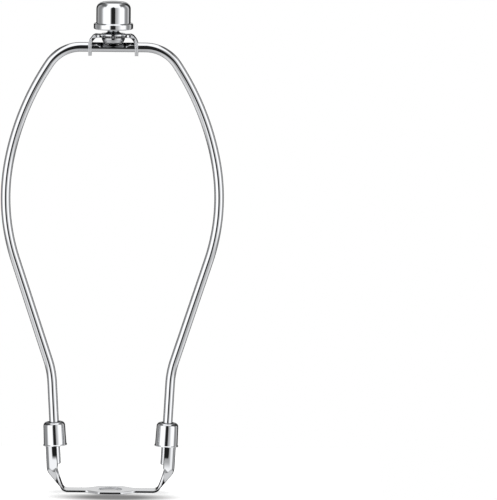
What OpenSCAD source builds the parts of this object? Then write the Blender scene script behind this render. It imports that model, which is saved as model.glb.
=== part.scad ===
// Lamp harp: a sprung wire bow on a stamped saddle, held by two sliding
// ferrules, with a swivel bracket, a threaded stud and a turned finial on top.
// Millimetres. Origin at the middle of the saddle hole, on the underside.
// X runs across the bow, Y runs front to back, Z is up.

/* [Bow wire] */
// Height from the saddle's underside to the seat that carries the shade
harp_h = 203.2; // [190:1:215]
// Diameter of the wire
wire_d = 4.2; // [3.8:0.05:4.4]
// Length of the straight stretch across the top
top_len = 23.8; // [22:0.2:30]
// Radius of the tight bend at each shoulder
shoulder_r = 20.5; // [16:0.5:25]
// Angle that each shoulder bends through
shoulder_turn = 57.5; // [50:0.5:62]
// Radius of the long curve between the shoulder and the belly
flank_r = 116.5; // [100:0.5:140]
// Angle that this curve bends through
flank_turn = 22.2; // [18:0.2:25]
// Radius of the belly, round the widest place
belly_r = 88; // [75:1:100]
// Radius of the knee above each leg
knee_r = 40; // [25:1:50]
// Height at which each knee runs into its straight leg
knee_h = 48.4; // [44:0.1:54]
// Distance between the middles of the legs, at the level of the underside
leg_span = 46.9; // [44:0.1:50]
// Lean of each leg from upright
leg_lean = 3.05; // [1.5:0.05:4.5]
// Height of the cut end of the wire above the saddle's underside
wire_end_h = 12.2; // [11.5:0.1:14]

/* [Coined centre of the wire] */
// Length of the two struck facets at the middle of the top
facet_len = 11.2; // [10.6:0.1:12]
// Length of the ramp at each end of a facet
facet_ramp = 1.5; // [1:0.1:2]
// Depth of a facet below the wire's skin
facet_depth = 0.6; // [0.3:0.05:0.8]
// Running gap between the cup and the seat struck in the wire
cup_gap = 0.55; // [0.5:0.05:0.8]

/* [Saddle] */
// Sheet thickness of the saddle
saddle_t = 1.0; // [0.8:0.05:1.2]
// Diameter of the hole that goes over the lamp's threaded pipe
hole_d = 10.4; // [10:0.1:11.5]
// Depth of the pad from front to back
pad_depth = 17; // [15:0.5:20]
// Length of the pad's straight front edge
pad_front = 9.8; // [8:0.2:12]
// Distance across the pad where it has narrowed to the arms
pad_len = 20.6; // [18:0.2:24]
// Width of the flat arms
arm_w = 8; // [7:0.1:8.4]
// Slope of the raised arms from level
arm_slope = 50; // [44:1:56]
// Height of the corner between the raised arm and the channel
knuckle_h = 9; // [8:0.1:9.6]
// Outer radius of the bend from the base to the raised arm
base_bend_r = 4.6; // [3:0.1:6]
// Outer radius of the bend from the raised arm to the channel
knuckle_r = 5.7; // [4:0.1:7]
// Running clearance between the back of the channel and the ferrule over it
channel_fit = 0.1; // [0.05:0.01:0.2]
// Width of the channel's flanges past the rolled half round
flange_w = 1.9; // [1.2:0.1:2.4]
// Side clearance between the wire and the channel
channel_gap = 0.1; // [0.05:0.05:0.2]
// How far the channel ends below the start of the ferrule's rounded shoulder
channel_stop = 0.1; // [0:0.1:1]

/* [Ferrules] */
// Height of a ferrule's foot above the saddle's underside
ferrule_h = 20.6; // [20.2:0.1:22]
// Length of a ferrule
ferrule_len = 10.4; // [9.6:0.1:12]
// Outer diameter of a ferrule at its foot
ferrule_d = 10; // [9.9:0.1:10.8]
// How much narrower a ferrule is at its shoulder
ferrule_taper = 0.3; // [0:0.05:0.4]
// Wall thickness of a ferrule
ferrule_t = 0.4; // [0.35:0.05:0.5]
// Radius of the rounded shoulder
ferrule_round = 1.6; // [1:0.1:2]
// How far the lip stands out at the foot
ferrule_lip = 0.25; // [0.1:0.05:0.4]
// Gap round the wire in the top of a ferrule
ferrule_gap = 0.25; // [0.15:0.05:0.4]

/* [Swivel bracket] */
// Sheet thickness of the bracket
bracket_t = 1.5; // [1.3:0.05:1.6]
// Width of the strip that the bracket is bent from
bracket_w = 7.6; // [7.4:0.1:9]
// Height of the shade seat above the wire's axis
seat_rise = 5.8; // [5.7:0.05:6.6]
// Distance between the middles of the two ears
ear_span = 20.4; // [20:0.1:22]
// Half length of the level top before it bends down
plate_half = 7.2; // [6.8:0.1:7.4]
// Slope of the bracket's corner between its two bends
corner_slope = 50; // [44:1:56]
// Outer radius of the upper bend
upper_bend_r = 2.6; // [2:0.1:2.8]
// Running clearance of the wire in the ears
ear_gap = 0.08; // [0.03:0.01:0.1]
// Diameter of the round seat in the middle of the strip
seat_d = 10.9; // [10.4:0.1:11.6]
// Width of the waist between the seat and each ear
waist_w = 4.8; // [4:0.1:6]
// Radius of the notches that make the waist
waist_r = 2.1; // [1.8:0.1:2.4]
// Height of the plain band above the serrations
seat_band = 0.55; // [0.4:0.05:0.7]
// Number of serrations round the seat
seat_teeth = 30; // [24:1:36]
// Depth of a serration
seat_tooth = 0.28; // [0.15:0.01:0.35]

/* [Stud and cup] */
// Major diameter of the stud's thread, a quarter inch
thread_d = 6.35; // [6.2:0.01:6.5]
// Diameter of the relief under the thread
neck_d = 5.1; // [4.6:0.1:5.6]
// Height of the flared base of the stud
flare_h = 1.3; // [1:0.1:1.6]
// Height of the flare's upright edge, and how far the edge stays inside the seat
flare_edge = 0.25; // [0.15:0.05:0.4]
// Height of the relief above the flare
neck_h = 1.1; // [0.8:0.1:1.4]
// Diameter of the stud's tail in the bracket
tail_d = 4; // [3.6:0.1:4.4]
// Diameter of the riveted tip of the tail
tip_d = 2.8; // [2.4:0.1:3.2]
// Diameter of the cup at its rim
cup_d = 10.2; // [9.6:0.1:10.4]
// Diameter of the cup where its side turns in
cup_waist_d = 9.3; // [8.8:0.1:9.4]
// Height of the cup's side
cup_side_h = 2.1; // [1.9:0.05:2.2]
// Height of the cup's sloping bottom
cup_slope_h = 1.2; // [1:0.05:1.3]
// Wall thickness of the cup
cup_t = 0.6; // [0.4:0.05:0.8]

/* [Finial] */
// Height of the finial's underside above the shade seat
finial_lift = 2.2; // [2.1:0.05:3.5]
// Overall height of the finial
finial_h = 12.3; // [11.6:0.1:14]
// Diameter of the finial's body
finial_d = 15.1; // [14:0.1:16]
// Diameter of the flange
flange_d = 17.3; // [16.8:0.1:18.5]
// Height of the flange
flange_h = 2.3; // [2:0.1:2.8]
// Radius of the fillet between the flange and the body
finial_fillet = 0.35; // [0.2:0.05:0.5]
// Chamfer at the mouth of the threaded hole
bore_lead_in = 0.5; // [0.3:0.1:0.8]
// Width of the rounded upper corner of the body
crown_w = 3.2; // [2.6:0.1:3.4]
// Height of the rounded upper corner of the body
crown_h = 3.1; // [2.6:0.1:3.4]
// Rise of the slightly domed top
dome_rise = 0.35; // [0.2:0.05:0.5]
// Radius of the flange's rounded edge
flange_round = 0.6; // [0.3:0.05:0.9]
// Depth of the threaded hole
finial_bore_depth = 8; // [7.5:0.1:8.4]
// Radial clearance of the stud in the finial
thread_gap = 0.05; // [0.02:0.01:0.08]
// Clearance between the end of the stud and the end of the threaded hole
bore_end_gap = 0.3; // [0.2:0.1:1]

/* [Hidden] */
$fn = 96;
SMALL = 0.01;

// Points that a shape needs round a quarter circle
QUARTER = 8;

chrome = [0.80, 0.81, 0.83];
steel = [0.62, 0.63, 0.65];

wire_r = wire_d / 2;
axis_z = harp_h - seat_rise;

// A direction in the XZ plane, at an angle from straight up towards +X
function along(a) = [sin(a), cos(a)];

// The leg's centre at a height
function leg_x(z) = leg_span / 2 + z * tan(leg_lean);

// The bow's centreline on the right hand side, as centres of arcs and their
// end angles. The straight flank is the line that touches both the belly's
// circle and the knee's, one on each side of it.
leg_turn = 90 + leg_lean;
first_turn = shoulder_turn;
second_turn = shoulder_turn + flank_turn;
shoulder_c = [top_len / 2, axis_z - shoulder_r];
flank_c = shoulder_c + (shoulder_r - flank_r) * along(first_turn);
belly_c = flank_c + (flank_r - belly_r) * along(second_turn);
leg_top = [leg_x(knee_h), knee_h];
knee_c = leg_top + knee_r * along(leg_turn);
belly_to_knee = knee_c - belly_c;
touch_turn = acos((belly_r + knee_r) / norm(belly_to_knee));
belly_turn = atan2(belly_to_knee[0], belly_to_knee[1]) - touch_turn;
flank_end = knee_c - knee_r * along(belly_turn);

// The swept bow: rings of points round the wire, one ring at each place. A
// place is [x, z, angle], where the angle is the wire's way from straight up.
ROUND = 24;
SWEEP_STEP = 4;
skin_r = wire_r - SMALL / 2;
function ring(place) = [
    for (k = [0 : ROUND - 1])
        let (a = 360 * k / ROUND, out = skin_r * cos(a))
        [place[0] + out * cos(place[2]), skin_r * sin(a), place[1] - out * sin(place[2])]
];

// Places along one arc, from one angle to another about its centre
function bend_places(centre, radius, from, to, flip) =
    let (count = ceil(abs(to - from) * radius / (SWEEP_STEP * 40)) + 3)
    [for (k = [1 : count])
        let (a = from + (to - from) * k / count, p = centre + flip * radius * along(a))
        [p[0], p[1], a + 90]];

module half_bow() {
    foot = [leg_x(wire_end_h), wire_end_h];
    places = concat(
        [[top_len / 2, axis_z, 90]],
        bend_places(shoulder_c, shoulder_r, 0, first_turn, 1),
        bend_places(flank_c, flank_r, first_turn, second_turn, 1),
        bend_places(belly_c, belly_r, second_turn, belly_turn, 1),
        [[flank_end[0], flank_end[1], belly_turn + 90]],
        bend_places(knee_c, knee_r, belly_turn, leg_turn, -1),
        [[foot[0], foot[1], leg_turn + 90]]);
    last = len(places) - 1;
    sides = [
        for (i = [0 : last - 1])
            for (k = [0 : ROUND - 1])
                let (a = i * ROUND + k, b = i * ROUND + (k + 1) % ROUND)
                each [[a, a + ROUND, b + ROUND], [a, b + ROUND, b]]
    ];
    start_cap = [[for (k = [0 : ROUND - 1]) k]];
    end_cap = [[for (k = [ROUND - 1 : -1 : 0]) last * ROUND + k]];
    polyhedron(points = [for (p = places) each ring(p)],
               faces = concat(start_cap, sides, end_cap));
}

// What the die takes off one upper side of the wire: a flat with a ramp at
// each end, tipped by 45 degrees to the front or to the back
module facet_cut(side) {
    floor_z = wire_r - facet_depth;
    half = facet_len / 2;
    ramp = facet_ramp * (wire_r - floor_z + SMALL) / facet_depth;
    top_z = wire_r + SMALL;
    translate([0, 0, axis_z])
        rotate([-45 * side, 0, 0])
            translate([0, wire_d, 0])
                rotate([90, 0, 0])
                    linear_extrude(height = 2 * wire_d)
                        polygon([[-half, floor_z], [half, floor_z],
                                 [half + ramp, top_z], [-half - ramp, top_z]]);
}

// The seat across the wire that the riveted cup swings in. It follows the
// cup's side view with a running gap.
cup_low = seat_rise - bracket_t - cup_side_h - cup_slope_h;
cup_turn = cup_low + cup_slope_h;
cup_drop = cup_slope_h / (cup_waist_d - tip_d) * 2 * cup_gap;
module cup_seat_cut() {
    floor_z = cup_low - cup_gap - facet_depth / 10;
    side = cup_waist_d / 2 + 0.75 * cup_gap;
    knee = cup_turn - cup_gap;
    translate([0, wire_d, axis_z])
        rotate([90, 0, 0])
            linear_extrude(height = 2 * wire_d)
                polygon([[-tip_d / 2 - cup_drop, floor_z], [tip_d / 2 + cup_drop, floor_z],
                         [side, knee], [side, wire_r + 1],
                         [-side, wire_r + 1], [-side, knee]]);
}

module harp_wire() {
    color(chrome)
        difference() {
            union() {
                translate([-top_len / 2, 0, axis_z])
                    rotate([0, 90, 0])
                        cylinder(h = top_len, r = wire_r);
                half_bow();
                mirror([1, 0, 0]) half_bow();
            }
            facet_cut(1);
            facet_cut(-1);
            cup_seat_cut();
        }
}

// Saddle: one strip, flat at the pad, bent up at each arm and rolled into a
// channel round the end of the wire. The middle of the sheet follows a path
// of three straight lines with a bend at each of two corners.
half_t = saddle_t / 2;
channel_in_ferrule = ferrule_len - ferrule_round - channel_stop;
channel_top_h = ferrule_h + channel_in_ferrule * cos(leg_lean);
channel_back = ferrule_side(channel_in_ferrule, ferrule_t) - channel_fit;
channel_out = channel_back - half_t;
function channel_x(z) = leg_x(z) + channel_out / cos(leg_lean);
base_r = base_bend_r - half_t;
upper_r = knuckle_r - half_t;
channel_slope = 90 - leg_lean;
knuckle_turn = channel_slope - arm_slope;

// The knuckle's corner, and the base corner that lies under it
knuckle = [channel_x(knuckle_h), knuckle_h];
corner = [knuckle[0] - (knuckle_h - half_t) / tan(arm_slope), half_t];
base_cut = base_r * tan(arm_slope / 2);
knuckle_cut = upper_r * tan(knuckle_turn / 2);
channel_end = [channel_x(channel_top_h), channel_top_h];
arm_start = pad_len / 2;
flat_end = corner[0] - base_cut;

function heading(a) = [cos(a), sin(a)];
function arc_point(centre, radius, a) = centre + radius * [sin(a), -cos(a)];

// Lengths of the path's stretches, from the pad to the end of the channel
flat_run = flat_end - arm_start;
base_run = base_r * arm_slope * PI / 180;
rise_run = norm(knuckle - corner) - base_cut - knuckle_cut;
knuckle_run = upper_r * knuckle_turn * PI / 180;
channel_run = norm(channel_end - knuckle) - knuckle_cut;
run_1 = flat_run;
run_2 = run_1 + base_run;
run_3 = run_2 + rise_run;
run_4 = run_3 + knuckle_run;
run_5 = run_4 + channel_run;

// Centres of the two bends
base_centre = [corner[0] - base_cut, half_t + base_r];
knuckle_from = corner + (base_cut + rise_run) * heading(arm_slope);
knuckle_centre = knuckle_from + upper_r * heading(arm_slope + 90);

// Slope of the path, and its place, at a distance along it
function path_slope(s) =
    s < run_1 ? 0 :
    s < run_2 ? arm_slope * (s - run_1) / base_run :
    s < run_3 ? arm_slope :
    s < run_4 ? arm_slope + knuckle_turn * (s - run_3) / knuckle_run :
    channel_slope;
function path_place(s) =
    s < run_1 ? [arm_start + s, half_t] :
    s < run_2 ? arc_point(base_centre, base_r, path_slope(s)) :
    s < run_3 ? corner + (base_cut + s - run_2) * heading(arm_slope) :
    s < run_4 ? arc_point(knuckle_centre, upper_r, path_slope(s)) :
    channel_end - (run_5 - s) * heading(channel_slope);

// The roll: how far the strip has closed, and half its flat width, there
roll_r = wire_r + channel_gap + half_t;
full_half = roll_r * PI / 2 + flange_w;
roll_from = run_1 + base_run * 0.6;
roll_to = run_5 - channel_in_ferrule - saddle_t / 2;
function smooth(t) = t * t * (3 - 2 * t);
function share(s) = min(1, max(0, (s - roll_from) / (roll_to - roll_from)));
function roll_turn(s) = 90 * smooth(pow(share(s), 0.85));
function half_width(s) = arm_w / 2 + (full_half - arm_w / 2) * smooth(share(s));

// One point of the rolled section: w is the distance from the middle line of
// the strip, off is the distance from the middle of the sheet. A round of
// roll_r comes first, then a straight flange at its tangent.
function roll_angle(w, turn) = min(turn, abs(w) / roll_r * 180 / PI);
function roll_side(w, turn, off) =
    let (a = roll_angle(w, turn), rest = abs(w) - a * PI / 180 * roll_r)
    sign(w) * ((roll_r - off) * sin(a) + rest * cos(a));
function roll_deep(w, turn, off) =
    let (a = roll_angle(w, turn), rest = abs(w) - a * PI / 180 * roll_r)
    roll_r - (roll_r - off) * cos(a) + rest * sin(a);

// A section of the arm as points in space, round the sheet's outline
ACROSS = 7;
STATIONS = 30;
function section_point(s, w, off) =
    let (p = path_place(s), a = path_slope(s), turn = roll_turn(s),
         deep = roll_deep(w, turn, off))
    [p[0] - deep * sin(a), roll_side(w, turn, off), p[1] + deep * cos(a)];
function section(s) = [
    for (i = [-ACROSS : ACROSS]) section_point(s, i / ACROSS * half_width(s), -half_t),
    for (i = [ACROSS : -1 : -ACROSS]) section_point(s, i / ACROSS * half_width(s), half_t)
];

// The first station lies in the flat arm, the rest are evenly spaced from the
// base bend to the channel's end
FLAT_LAP = 1;
function station(k) =
    k == 0 ? run_1 - FLAT_LAP : run_1 + (run_5 - run_1) * (k - 1) / (STATIONS - 1);

// The ends are closed with a strip of triangles across the sheet
function cap(first, count) = [
    for (i = [0 : count / 2 - 2])
        let (a = first + i, b = first + count - 1 - i)
        each [[a, b, b - 1], [a, b - 1, a + 1]]
];
function turned(faces) = [for (f = faces) [f[2], f[1], f[0]]];

module saddle_arm() {
    count = 2 * (2 * ACROSS + 1);
    points = [for (k = [0 : STATIONS]) each section(station(k))];
    sides = [
        for (k = [0 : STATIONS - 1])
            for (i = [0 : count - 1])
                let (a = k * count + i, b = k * count + (i + 1) % count)
                each [[a, b + count, b], [a, a + count, b + count]]
    ];
    polyhedron(points = points,
               faces = concat(turned(cap(0, count)), sides, cap(STATIONS * count, count)));
}

module saddle_pad() {
    half_w = arm_w / 2;
    pad_end = flat_end - FLAT_LAP / 2;
    half_d = pad_depth / 2;
    half_f = pad_front / 2;
    difference() {
        linear_extrude(height = saddle_t)
            polygon([[pad_end, -half_w], [pad_end, half_w],
                     [arm_start, half_w], [half_f, half_d],
                     [-half_f, half_d], [-arm_start, half_w],
                     [-pad_end, half_w], [-pad_end, -half_w],
                     [-arm_start, -half_w], [-half_f, -half_d],
                     [half_f, -half_d], [arm_start, -half_w]]);
        translate([0, 0, -saddle_t])
            cylinder(h = 3 * saddle_t, d = hole_d);
    }
}

module saddle() {
    color(chrome) {
        saddle_pad();
        saddle_arm();
        mirror([1, 0, 0]) saddle_arm();
    }
}

// Ferrule: a drawn cup with a hole in its closed end, slid down over the
// channel and the wire. Outline and wall come from one function of an inset.
function ferrule_side(z, inset) = ferrule_d / 2 - ferrule_taper * z / ferrule_len - inset;

module ferrule_shape() {
    top = ferrule_len;
    wall_top = top - ferrule_round;
    shoulder_x = ferrule_side(wall_top, 0) - ferrule_round;
    hole_r = wire_r + ferrule_gap;
    inner_round = ferrule_round - ferrule_t;
    outer_arc = [for (k = [0 : QUARTER])
        [shoulder_x, wall_top] + ferrule_round * heading(90 * k / QUARTER)];
    inner_arc = [for (k = [QUARTER : -1 : 0])
        [shoulder_x, wall_top] + inner_round * heading(90 * k / QUARTER)];
    foot = ferrule_lip;
    rotate_extrude()
        polygon(concat(
            [[ferrule_side(0, ferrule_t), 0],
             [ferrule_side(0, 0) + foot, 0],
             [ferrule_side(0, 0) + foot, foot],
             [ferrule_side(2 * foot, 0), 2.5 * foot]],
            outer_arc,
            [[hole_r, top], [hole_r, top - ferrule_t]],
            inner_arc));
}

module on_leg(z) {
    translate([leg_x(z), 0, z])
        rotate([0, leg_lean, 0])
            children();
}

module ferrule_right() {
    color(chrome) on_leg(ferrule_h) ferrule_shape();
}

module ferrule_left() {
    color(chrome) mirror([1, 0, 0]) on_leg(ferrule_h) ferrule_shape();
}

// Swivel bracket: one strip bent down at both ends, with a round serrated
// seat in the middle and an eye for the wire in each ear.
plate_z = harp_h - bracket_t;
ear_x = ear_span / 2 + bracket_t / 2;
upper_end = [plate_half + upper_bend_r * sin(corner_slope),
             harp_h - upper_bend_r * (1 - cos(corner_slope))];
ear_bend_turn = 90 - corner_slope;

// The lower bend is as large as the corner leaves room for
corner_run = 0.8;
lower_from = upper_end + corner_run * [cos(corner_slope), -sin(corner_slope)];
lower_bend_r = (ear_x - lower_from[0]) / (1 - sin(corner_slope));
lower_end_z = lower_from[1] - lower_bend_r * cos(corner_slope);

// One side of the strip's side view, from the middle to below the ear's foot,
// at an inset from its outer face
ear_foot_z = axis_z - bracket_w;
function strip_side(inset) = concat(
    [for (k = [0 : QUARTER])
        [plate_half, harp_h - upper_bend_r]
            + (upper_bend_r - inset) * along(corner_slope * k / QUARTER)],
    [for (k = [0 : QUARTER])
        [ear_x - lower_bend_r, lower_end_z]
            + (lower_bend_r - inset) * along(corner_slope + ear_bend_turn * k / QUARTER)],
    [[ear_x - inset, ear_foot_z]]);
function flipped(points) = [for (k = [len(points) - 1 : -1 : 0]) [-points[k][0], points[k][1]]];
function backwards(points) = [for (k = [len(points) - 1 : -1 : 0]) points[k]];

// The middle of each notch. Its arc starts just inside the place where the
// seat's rim crosses the edge of the strip.
notch_y = waist_w / 2 + waist_r;
notch_x = sqrt(pow(seat_d / 2, 2) - pow(bracket_w / 2, 2))
    + sqrt(pow(waist_r, 2) - pow(notch_y - bracket_w / 2, 2)) - waist_r / 14;

// The strip's width all the way up, and the round foot of each ear
module strip_front() {
    translate([axis_z, 0]) circle(d = bracket_w);
    translate([axis_z, -bracket_w / 2]) square([seat_rise + 1, bracket_w]);
}

module bent_strip() {
    outer = strip_side(0);
    inner = strip_side(bracket_t);
    intersection() {
        translate([0, bracket_w, 0])
            rotate([90, 0, 0])
                linear_extrude(height = 2 * bracket_w)
                    polygon(concat(flipped(outer), outer, backwards(inner),
                                   backwards(flipped(inner))));
        translate([ear_x + 1, 0, 0])
            rotate([0, -90, 0])
                linear_extrude(height = 2 * ear_x + 2)
                    strip_front();
    }
}

// The serrated rim as a star, with a crest and a valley for each serration. The
// crests lie just inside the plain band above them.
module serrated_disc(height) {
    crest = seat_d / 2 - 4 * SMALL;
    valley = crest - seat_tooth;
    linear_extrude(height = height)
        polygon([for (k = [0 : 2 * seat_teeth - 1])
            (k % 2 == 0 ? crest : valley) * heading(180 * k / seat_teeth)]);
}

module swivel_bracket() {
    color(chrome)
        difference() {
            union() {
                difference() {
                    bent_strip();
                    for (x = [-notch_x, notch_x], y = [-notch_y, notch_y])
                        translate([x, y, harp_h - 3 * bracket_t])
                            cylinder(h = 4 * bracket_t, r = waist_r);
                }
                translate([0, 0, plate_z]) serrated_disc(bracket_t - seat_band);
                translate([0, 0, harp_h - seat_band]) cylinder(h = seat_band, d = seat_d);
            }
            translate([0, 0, plate_z - bracket_t])
                cylinder(h = 3 * bracket_t, d = tail_d);
            translate([-ear_x - 1, 0, axis_z])
                rotate([0, 90, 0])
                    cylinder(h = 2 * ear_x + 2, r = wire_r + ear_gap);
        }
}

// Threaded stud: a flared base that stands on the seat, a relief, the threaded
// length, and a stepped tail that is riveted under the cup.
finial_z = harp_h + finial_lift;
stud_top = finial_z + finial_bore_depth - bore_end_gap;
cup_z = axis_z + cup_low;
cup_hollow_z = cup_z + cup_t;

module threaded_stud() {
    neck_r = neck_d / 2;
    flare_r = seat_d / 2 - flare_edge;
    flare_points = [for (k = [0 : QUARTER])
        [flare_r - (flare_r - neck_r) * sin(90 * k / QUARTER),
         flare_edge + (flare_h - flare_edge) * (1 - cos(90 * k / QUARTER))]];
    chamfer = (thread_d - neck_d) / 2;
    color(steel) {
        translate([0, 0, harp_h])
            rotate_extrude()
                polygon(concat(
                    [[0, 0], [flare_r, 0]],
                    flare_points,
                    [[neck_r, flare_h + neck_h - chamfer],
                     [thread_d / 2, flare_h + neck_h],
                     [thread_d / 2, stud_top - harp_h - chamfer],
                     [neck_r, stud_top - harp_h],
                     [0, stud_top - harp_h]]));
        translate([0, 0, cup_hollow_z])
            cylinder(h = harp_h - cup_hollow_z, d = tail_d);
        translate([0, 0, cup_z])
            cylinder(h = cup_t, d = tip_d);
    }
}

// Riveted cup: a bowl pressed against the underside of the bracket
module rivet_cup() {
    rim = plate_z - cup_z;
    flat = cup_t * 0.8;
    soft = cup_t / 2;
    outer = [[tip_d / 2, 0], [tip_d / 2 + flat, 0],
             [cup_waist_d / 2 - soft, cup_slope_h - soft],
             [cup_waist_d / 2, cup_slope_h + soft / 3],
             [cup_d / 2, rim]];
    inner = [[cup_d / 2 - cup_t, rim],
             [cup_waist_d / 2 - cup_t, cup_slope_h + cup_t * 0.7],
             [tip_d / 2 + flat + soft / 2, cup_t],
             [tip_d / 2, cup_t]];
    color(chrome)
        translate([0, 0, cup_z])
            rotate_extrude()
                polygon(concat(outer, inner));
}

// Finial: a turned cap nut with a flange, a plain body and a softly domed top
module finial() {
    body_r = finial_d / 2;
    flange_r = flange_d / 2;
    bore_r = thread_d / 2 + thread_gap;
    crown_z = finial_h - dome_rise - crown_h;
    crown_x = body_r - crown_w;
    flat_x = crown_x / QUARTER;
    lower_edge = [for (k = [0 : QUARTER])
        [flange_r - flange_round, flange_round]
            + flange_round * [sin(90 * k / QUARTER), -cos(90 * k / QUARTER)]];
    upper_edge = [for (k = [0 : QUARTER])
        [flange_r - flange_round, flange_h - flange_round]
            + flange_round * [cos(90 * k / QUARTER), sin(90 * k / QUARTER)]];
    neck = [for (k = [0 : QUARTER])
        [body_r + finial_fillet, flange_h + finial_fillet]
            - finial_fillet * [sin(90 * k / QUARTER), cos(90 * k / QUARTER)]];
    crown = [for (k = [0 : QUARTER])
        [crown_x + crown_w * cos(90 * k / QUARTER),
         crown_z + crown_h * sin(90 * k / QUARTER)]];
    dome = [for (k = [1 : QUARTER - 1])
        let (x = crown_x * (1 - k / QUARTER))
        [x, finial_h - dome_rise * pow((x - flat_x) / (crown_x - flat_x), 2)]];
    hole = [[0, finial_bore_depth], [bore_r, finial_bore_depth],
            [bore_r, bore_lead_in], [bore_r + bore_lead_in, 0]];
    color(chrome)
        translate([0, 0, finial_z])
            rotate_extrude()
                polygon(concat(hole, lower_edge, upper_edge, neck, crown, dome,
                               [[0, finial_h]]));
}

saddle();
harp_wire();
ferrule_left();
ferrule_right();
swivel_bracket();
threaded_stud();
rivet_cup();
finial();
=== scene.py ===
"""Dresses the lamp harp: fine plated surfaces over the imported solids, a pale
studio and the camera. Sizes are in metres in the properties and in
millimetres in the formulas. X runs across the bow, Y to the back, Z up."""

import bmesh
import bpy
import numpy as np
from bpy.props import FloatProperty, FloatVectorProperty, IntProperty, PointerProperty
from mathutils import Matrix


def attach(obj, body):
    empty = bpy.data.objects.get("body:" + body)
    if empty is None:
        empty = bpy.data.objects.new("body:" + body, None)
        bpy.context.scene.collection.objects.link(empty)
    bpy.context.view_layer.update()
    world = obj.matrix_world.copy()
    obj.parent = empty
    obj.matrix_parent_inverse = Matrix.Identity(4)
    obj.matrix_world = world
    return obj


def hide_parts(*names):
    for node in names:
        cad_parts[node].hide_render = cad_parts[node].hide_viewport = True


bl_info = {
    "name": "Lamp harp",
    "version": (1, 0, 0),
    "blender": (4, 5, 0),
    "location": "View3D > Sidebar > Lamp harp",
    "description": "Plated wire bow, saddle, ferrules, swivel bracket, stud, cup and finial",
    "category": "Object",
}

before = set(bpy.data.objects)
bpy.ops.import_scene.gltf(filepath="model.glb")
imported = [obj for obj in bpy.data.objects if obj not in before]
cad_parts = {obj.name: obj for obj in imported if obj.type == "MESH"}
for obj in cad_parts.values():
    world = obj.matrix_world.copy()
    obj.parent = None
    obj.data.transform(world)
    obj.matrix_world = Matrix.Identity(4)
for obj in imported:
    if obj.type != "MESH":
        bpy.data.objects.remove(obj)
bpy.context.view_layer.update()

MM = 0.001
HALF_TURN = np.pi


# Properties ------------------------------------------------------------------


def length(name, description, millimetres):
    """A length property, given here in millimetres."""
    return FloatProperty(
        name=name, description=description, default=millimetres * MM,
        min=0.0, precision=5, unit="LENGTH",
    )


def angle(name, description, degrees):
    """An angle property, given here in degrees."""
    return FloatProperty(
        name=name, description=description, default=float(np.radians(degrees)),
        subtype="ANGLE",
    )


def share(name, description, value):
    """A plain number from 0 to 1."""
    return FloatProperty(
        name=name, description=description, default=value,
        min=0.0, max=1.0, subtype="FACTOR",
    )


def colour(name, description, value):
    """A linear colour."""
    return FloatVectorProperty(
        name=name, description=description, default=value,
        min=0.0, max=1.0, size=3, subtype="COLOR",
    )


class BowSizes(bpy.types.PropertyGroup):
    """Sizes of the bow wire."""

    wire: length("Wire", "Diameter of the wire", 4.2)
    top_height: length("Top height", "Height of the wire's axis across the top", 197.4)
    top_length: length("Top length", "Straight stretch across the top", 28.45)
    shoulder: length("Shoulder radius", "Tight bend at each shoulder", 16.5)
    shoulder_turn: angle("Shoulder turn", "Angle that a shoulder bends through", 56.42)
    flank: length("Flank radius", "Long curve between shoulder and belly", 116.5)
    flank_turn: angle("Flank turn", "Angle that this curve bends through", 23.28)
    belly: length("Belly radius", "Curve round the widest place", 88.0)
    knee: length("Knee radius", "Bend above each leg", 40.0)
    knee_height: length("Knee height", "Where the knee runs into the leg", 48.4)
    leg_span: length("Leg span", "Between the legs' axes at the underside's level", 46.9)
    leg_lean: angle("Leg lean", "Lean of each leg from upright", 3.05)
    end_height: length("End height", "Height of the wire's cut ends", 12.2)
    facet_length: length("Facet length", "Struck facets in the middle of the top", 11.2)
    facet_ramp: length("Facet ramp", "Ramp at each end of a facet", 1.5)
    facet_depth: length("Facet depth", "Depth of a facet below the skin", 0.6)


class SaddleSizes(bpy.types.PropertyGroup):
    """Sizes of the stamped saddle."""

    sheet: length("Sheet", "Thickness of the sheet", 1.0)
    hole: length("Hole", "Diameter of the hole for the lamp's pipe", 10.4)
    pad_depth: length("Pad depth", "Pad from front to back", 17.0)
    pad_front: length("Pad front", "Straight front edge of the pad", 9.8)
    pad_length: length("Pad length", "Pad up to where it is as narrow as the arms", 20.6)
    arm_width: length("Arm width", "Width of the flat arms", 8.0)
    arm_slope: angle("Arm slope", "Slope of the raised arms", 50.0)
    knuckle_height: length("Knuckle height", "Corner between arm and channel", 9.0)
    base_bend: length("Base bend", "Outer radius of the bend at the base", 4.6)
    knuckle_bend: length("Knuckle bend", "Outer radius of the bend at the knuckle", 5.7)
    flange: length("Flange", "Channel's flanges past the rolled half round", 1.9)
    side_gap: length("Side gap", "Between the wire and the channel's sides", 0.1)
    back_gap: length("Back gap", "Between the channel's back and the ferrule", 0.1)
    end_gap: length("End gap", "Channel's end below the ferrule's shoulder", 0.1)


class FerruleSizes(bpy.types.PropertyGroup):
    """Sizes of the two drawn ferrules."""

    foot_height: length("Foot height", "Height of a ferrule's foot", 20.6)
    length: length("Length", "Length of a ferrule", 10.4)
    diameter: length("Diameter", "Outer diameter at the foot", 10.0)
    taper: length("Taper", "How much narrower it is at the top", 0.3)
    wall: length("Wall", "Thickness of the wall", 0.4)
    shoulder: length("Shoulder", "Radius of the rounded shoulder", 1.6)
    lip: length("Lip", "How far the lip stands out", 0.25)
    gap: length("Gap", "Gap round the wire in the top", 0.45)


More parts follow.
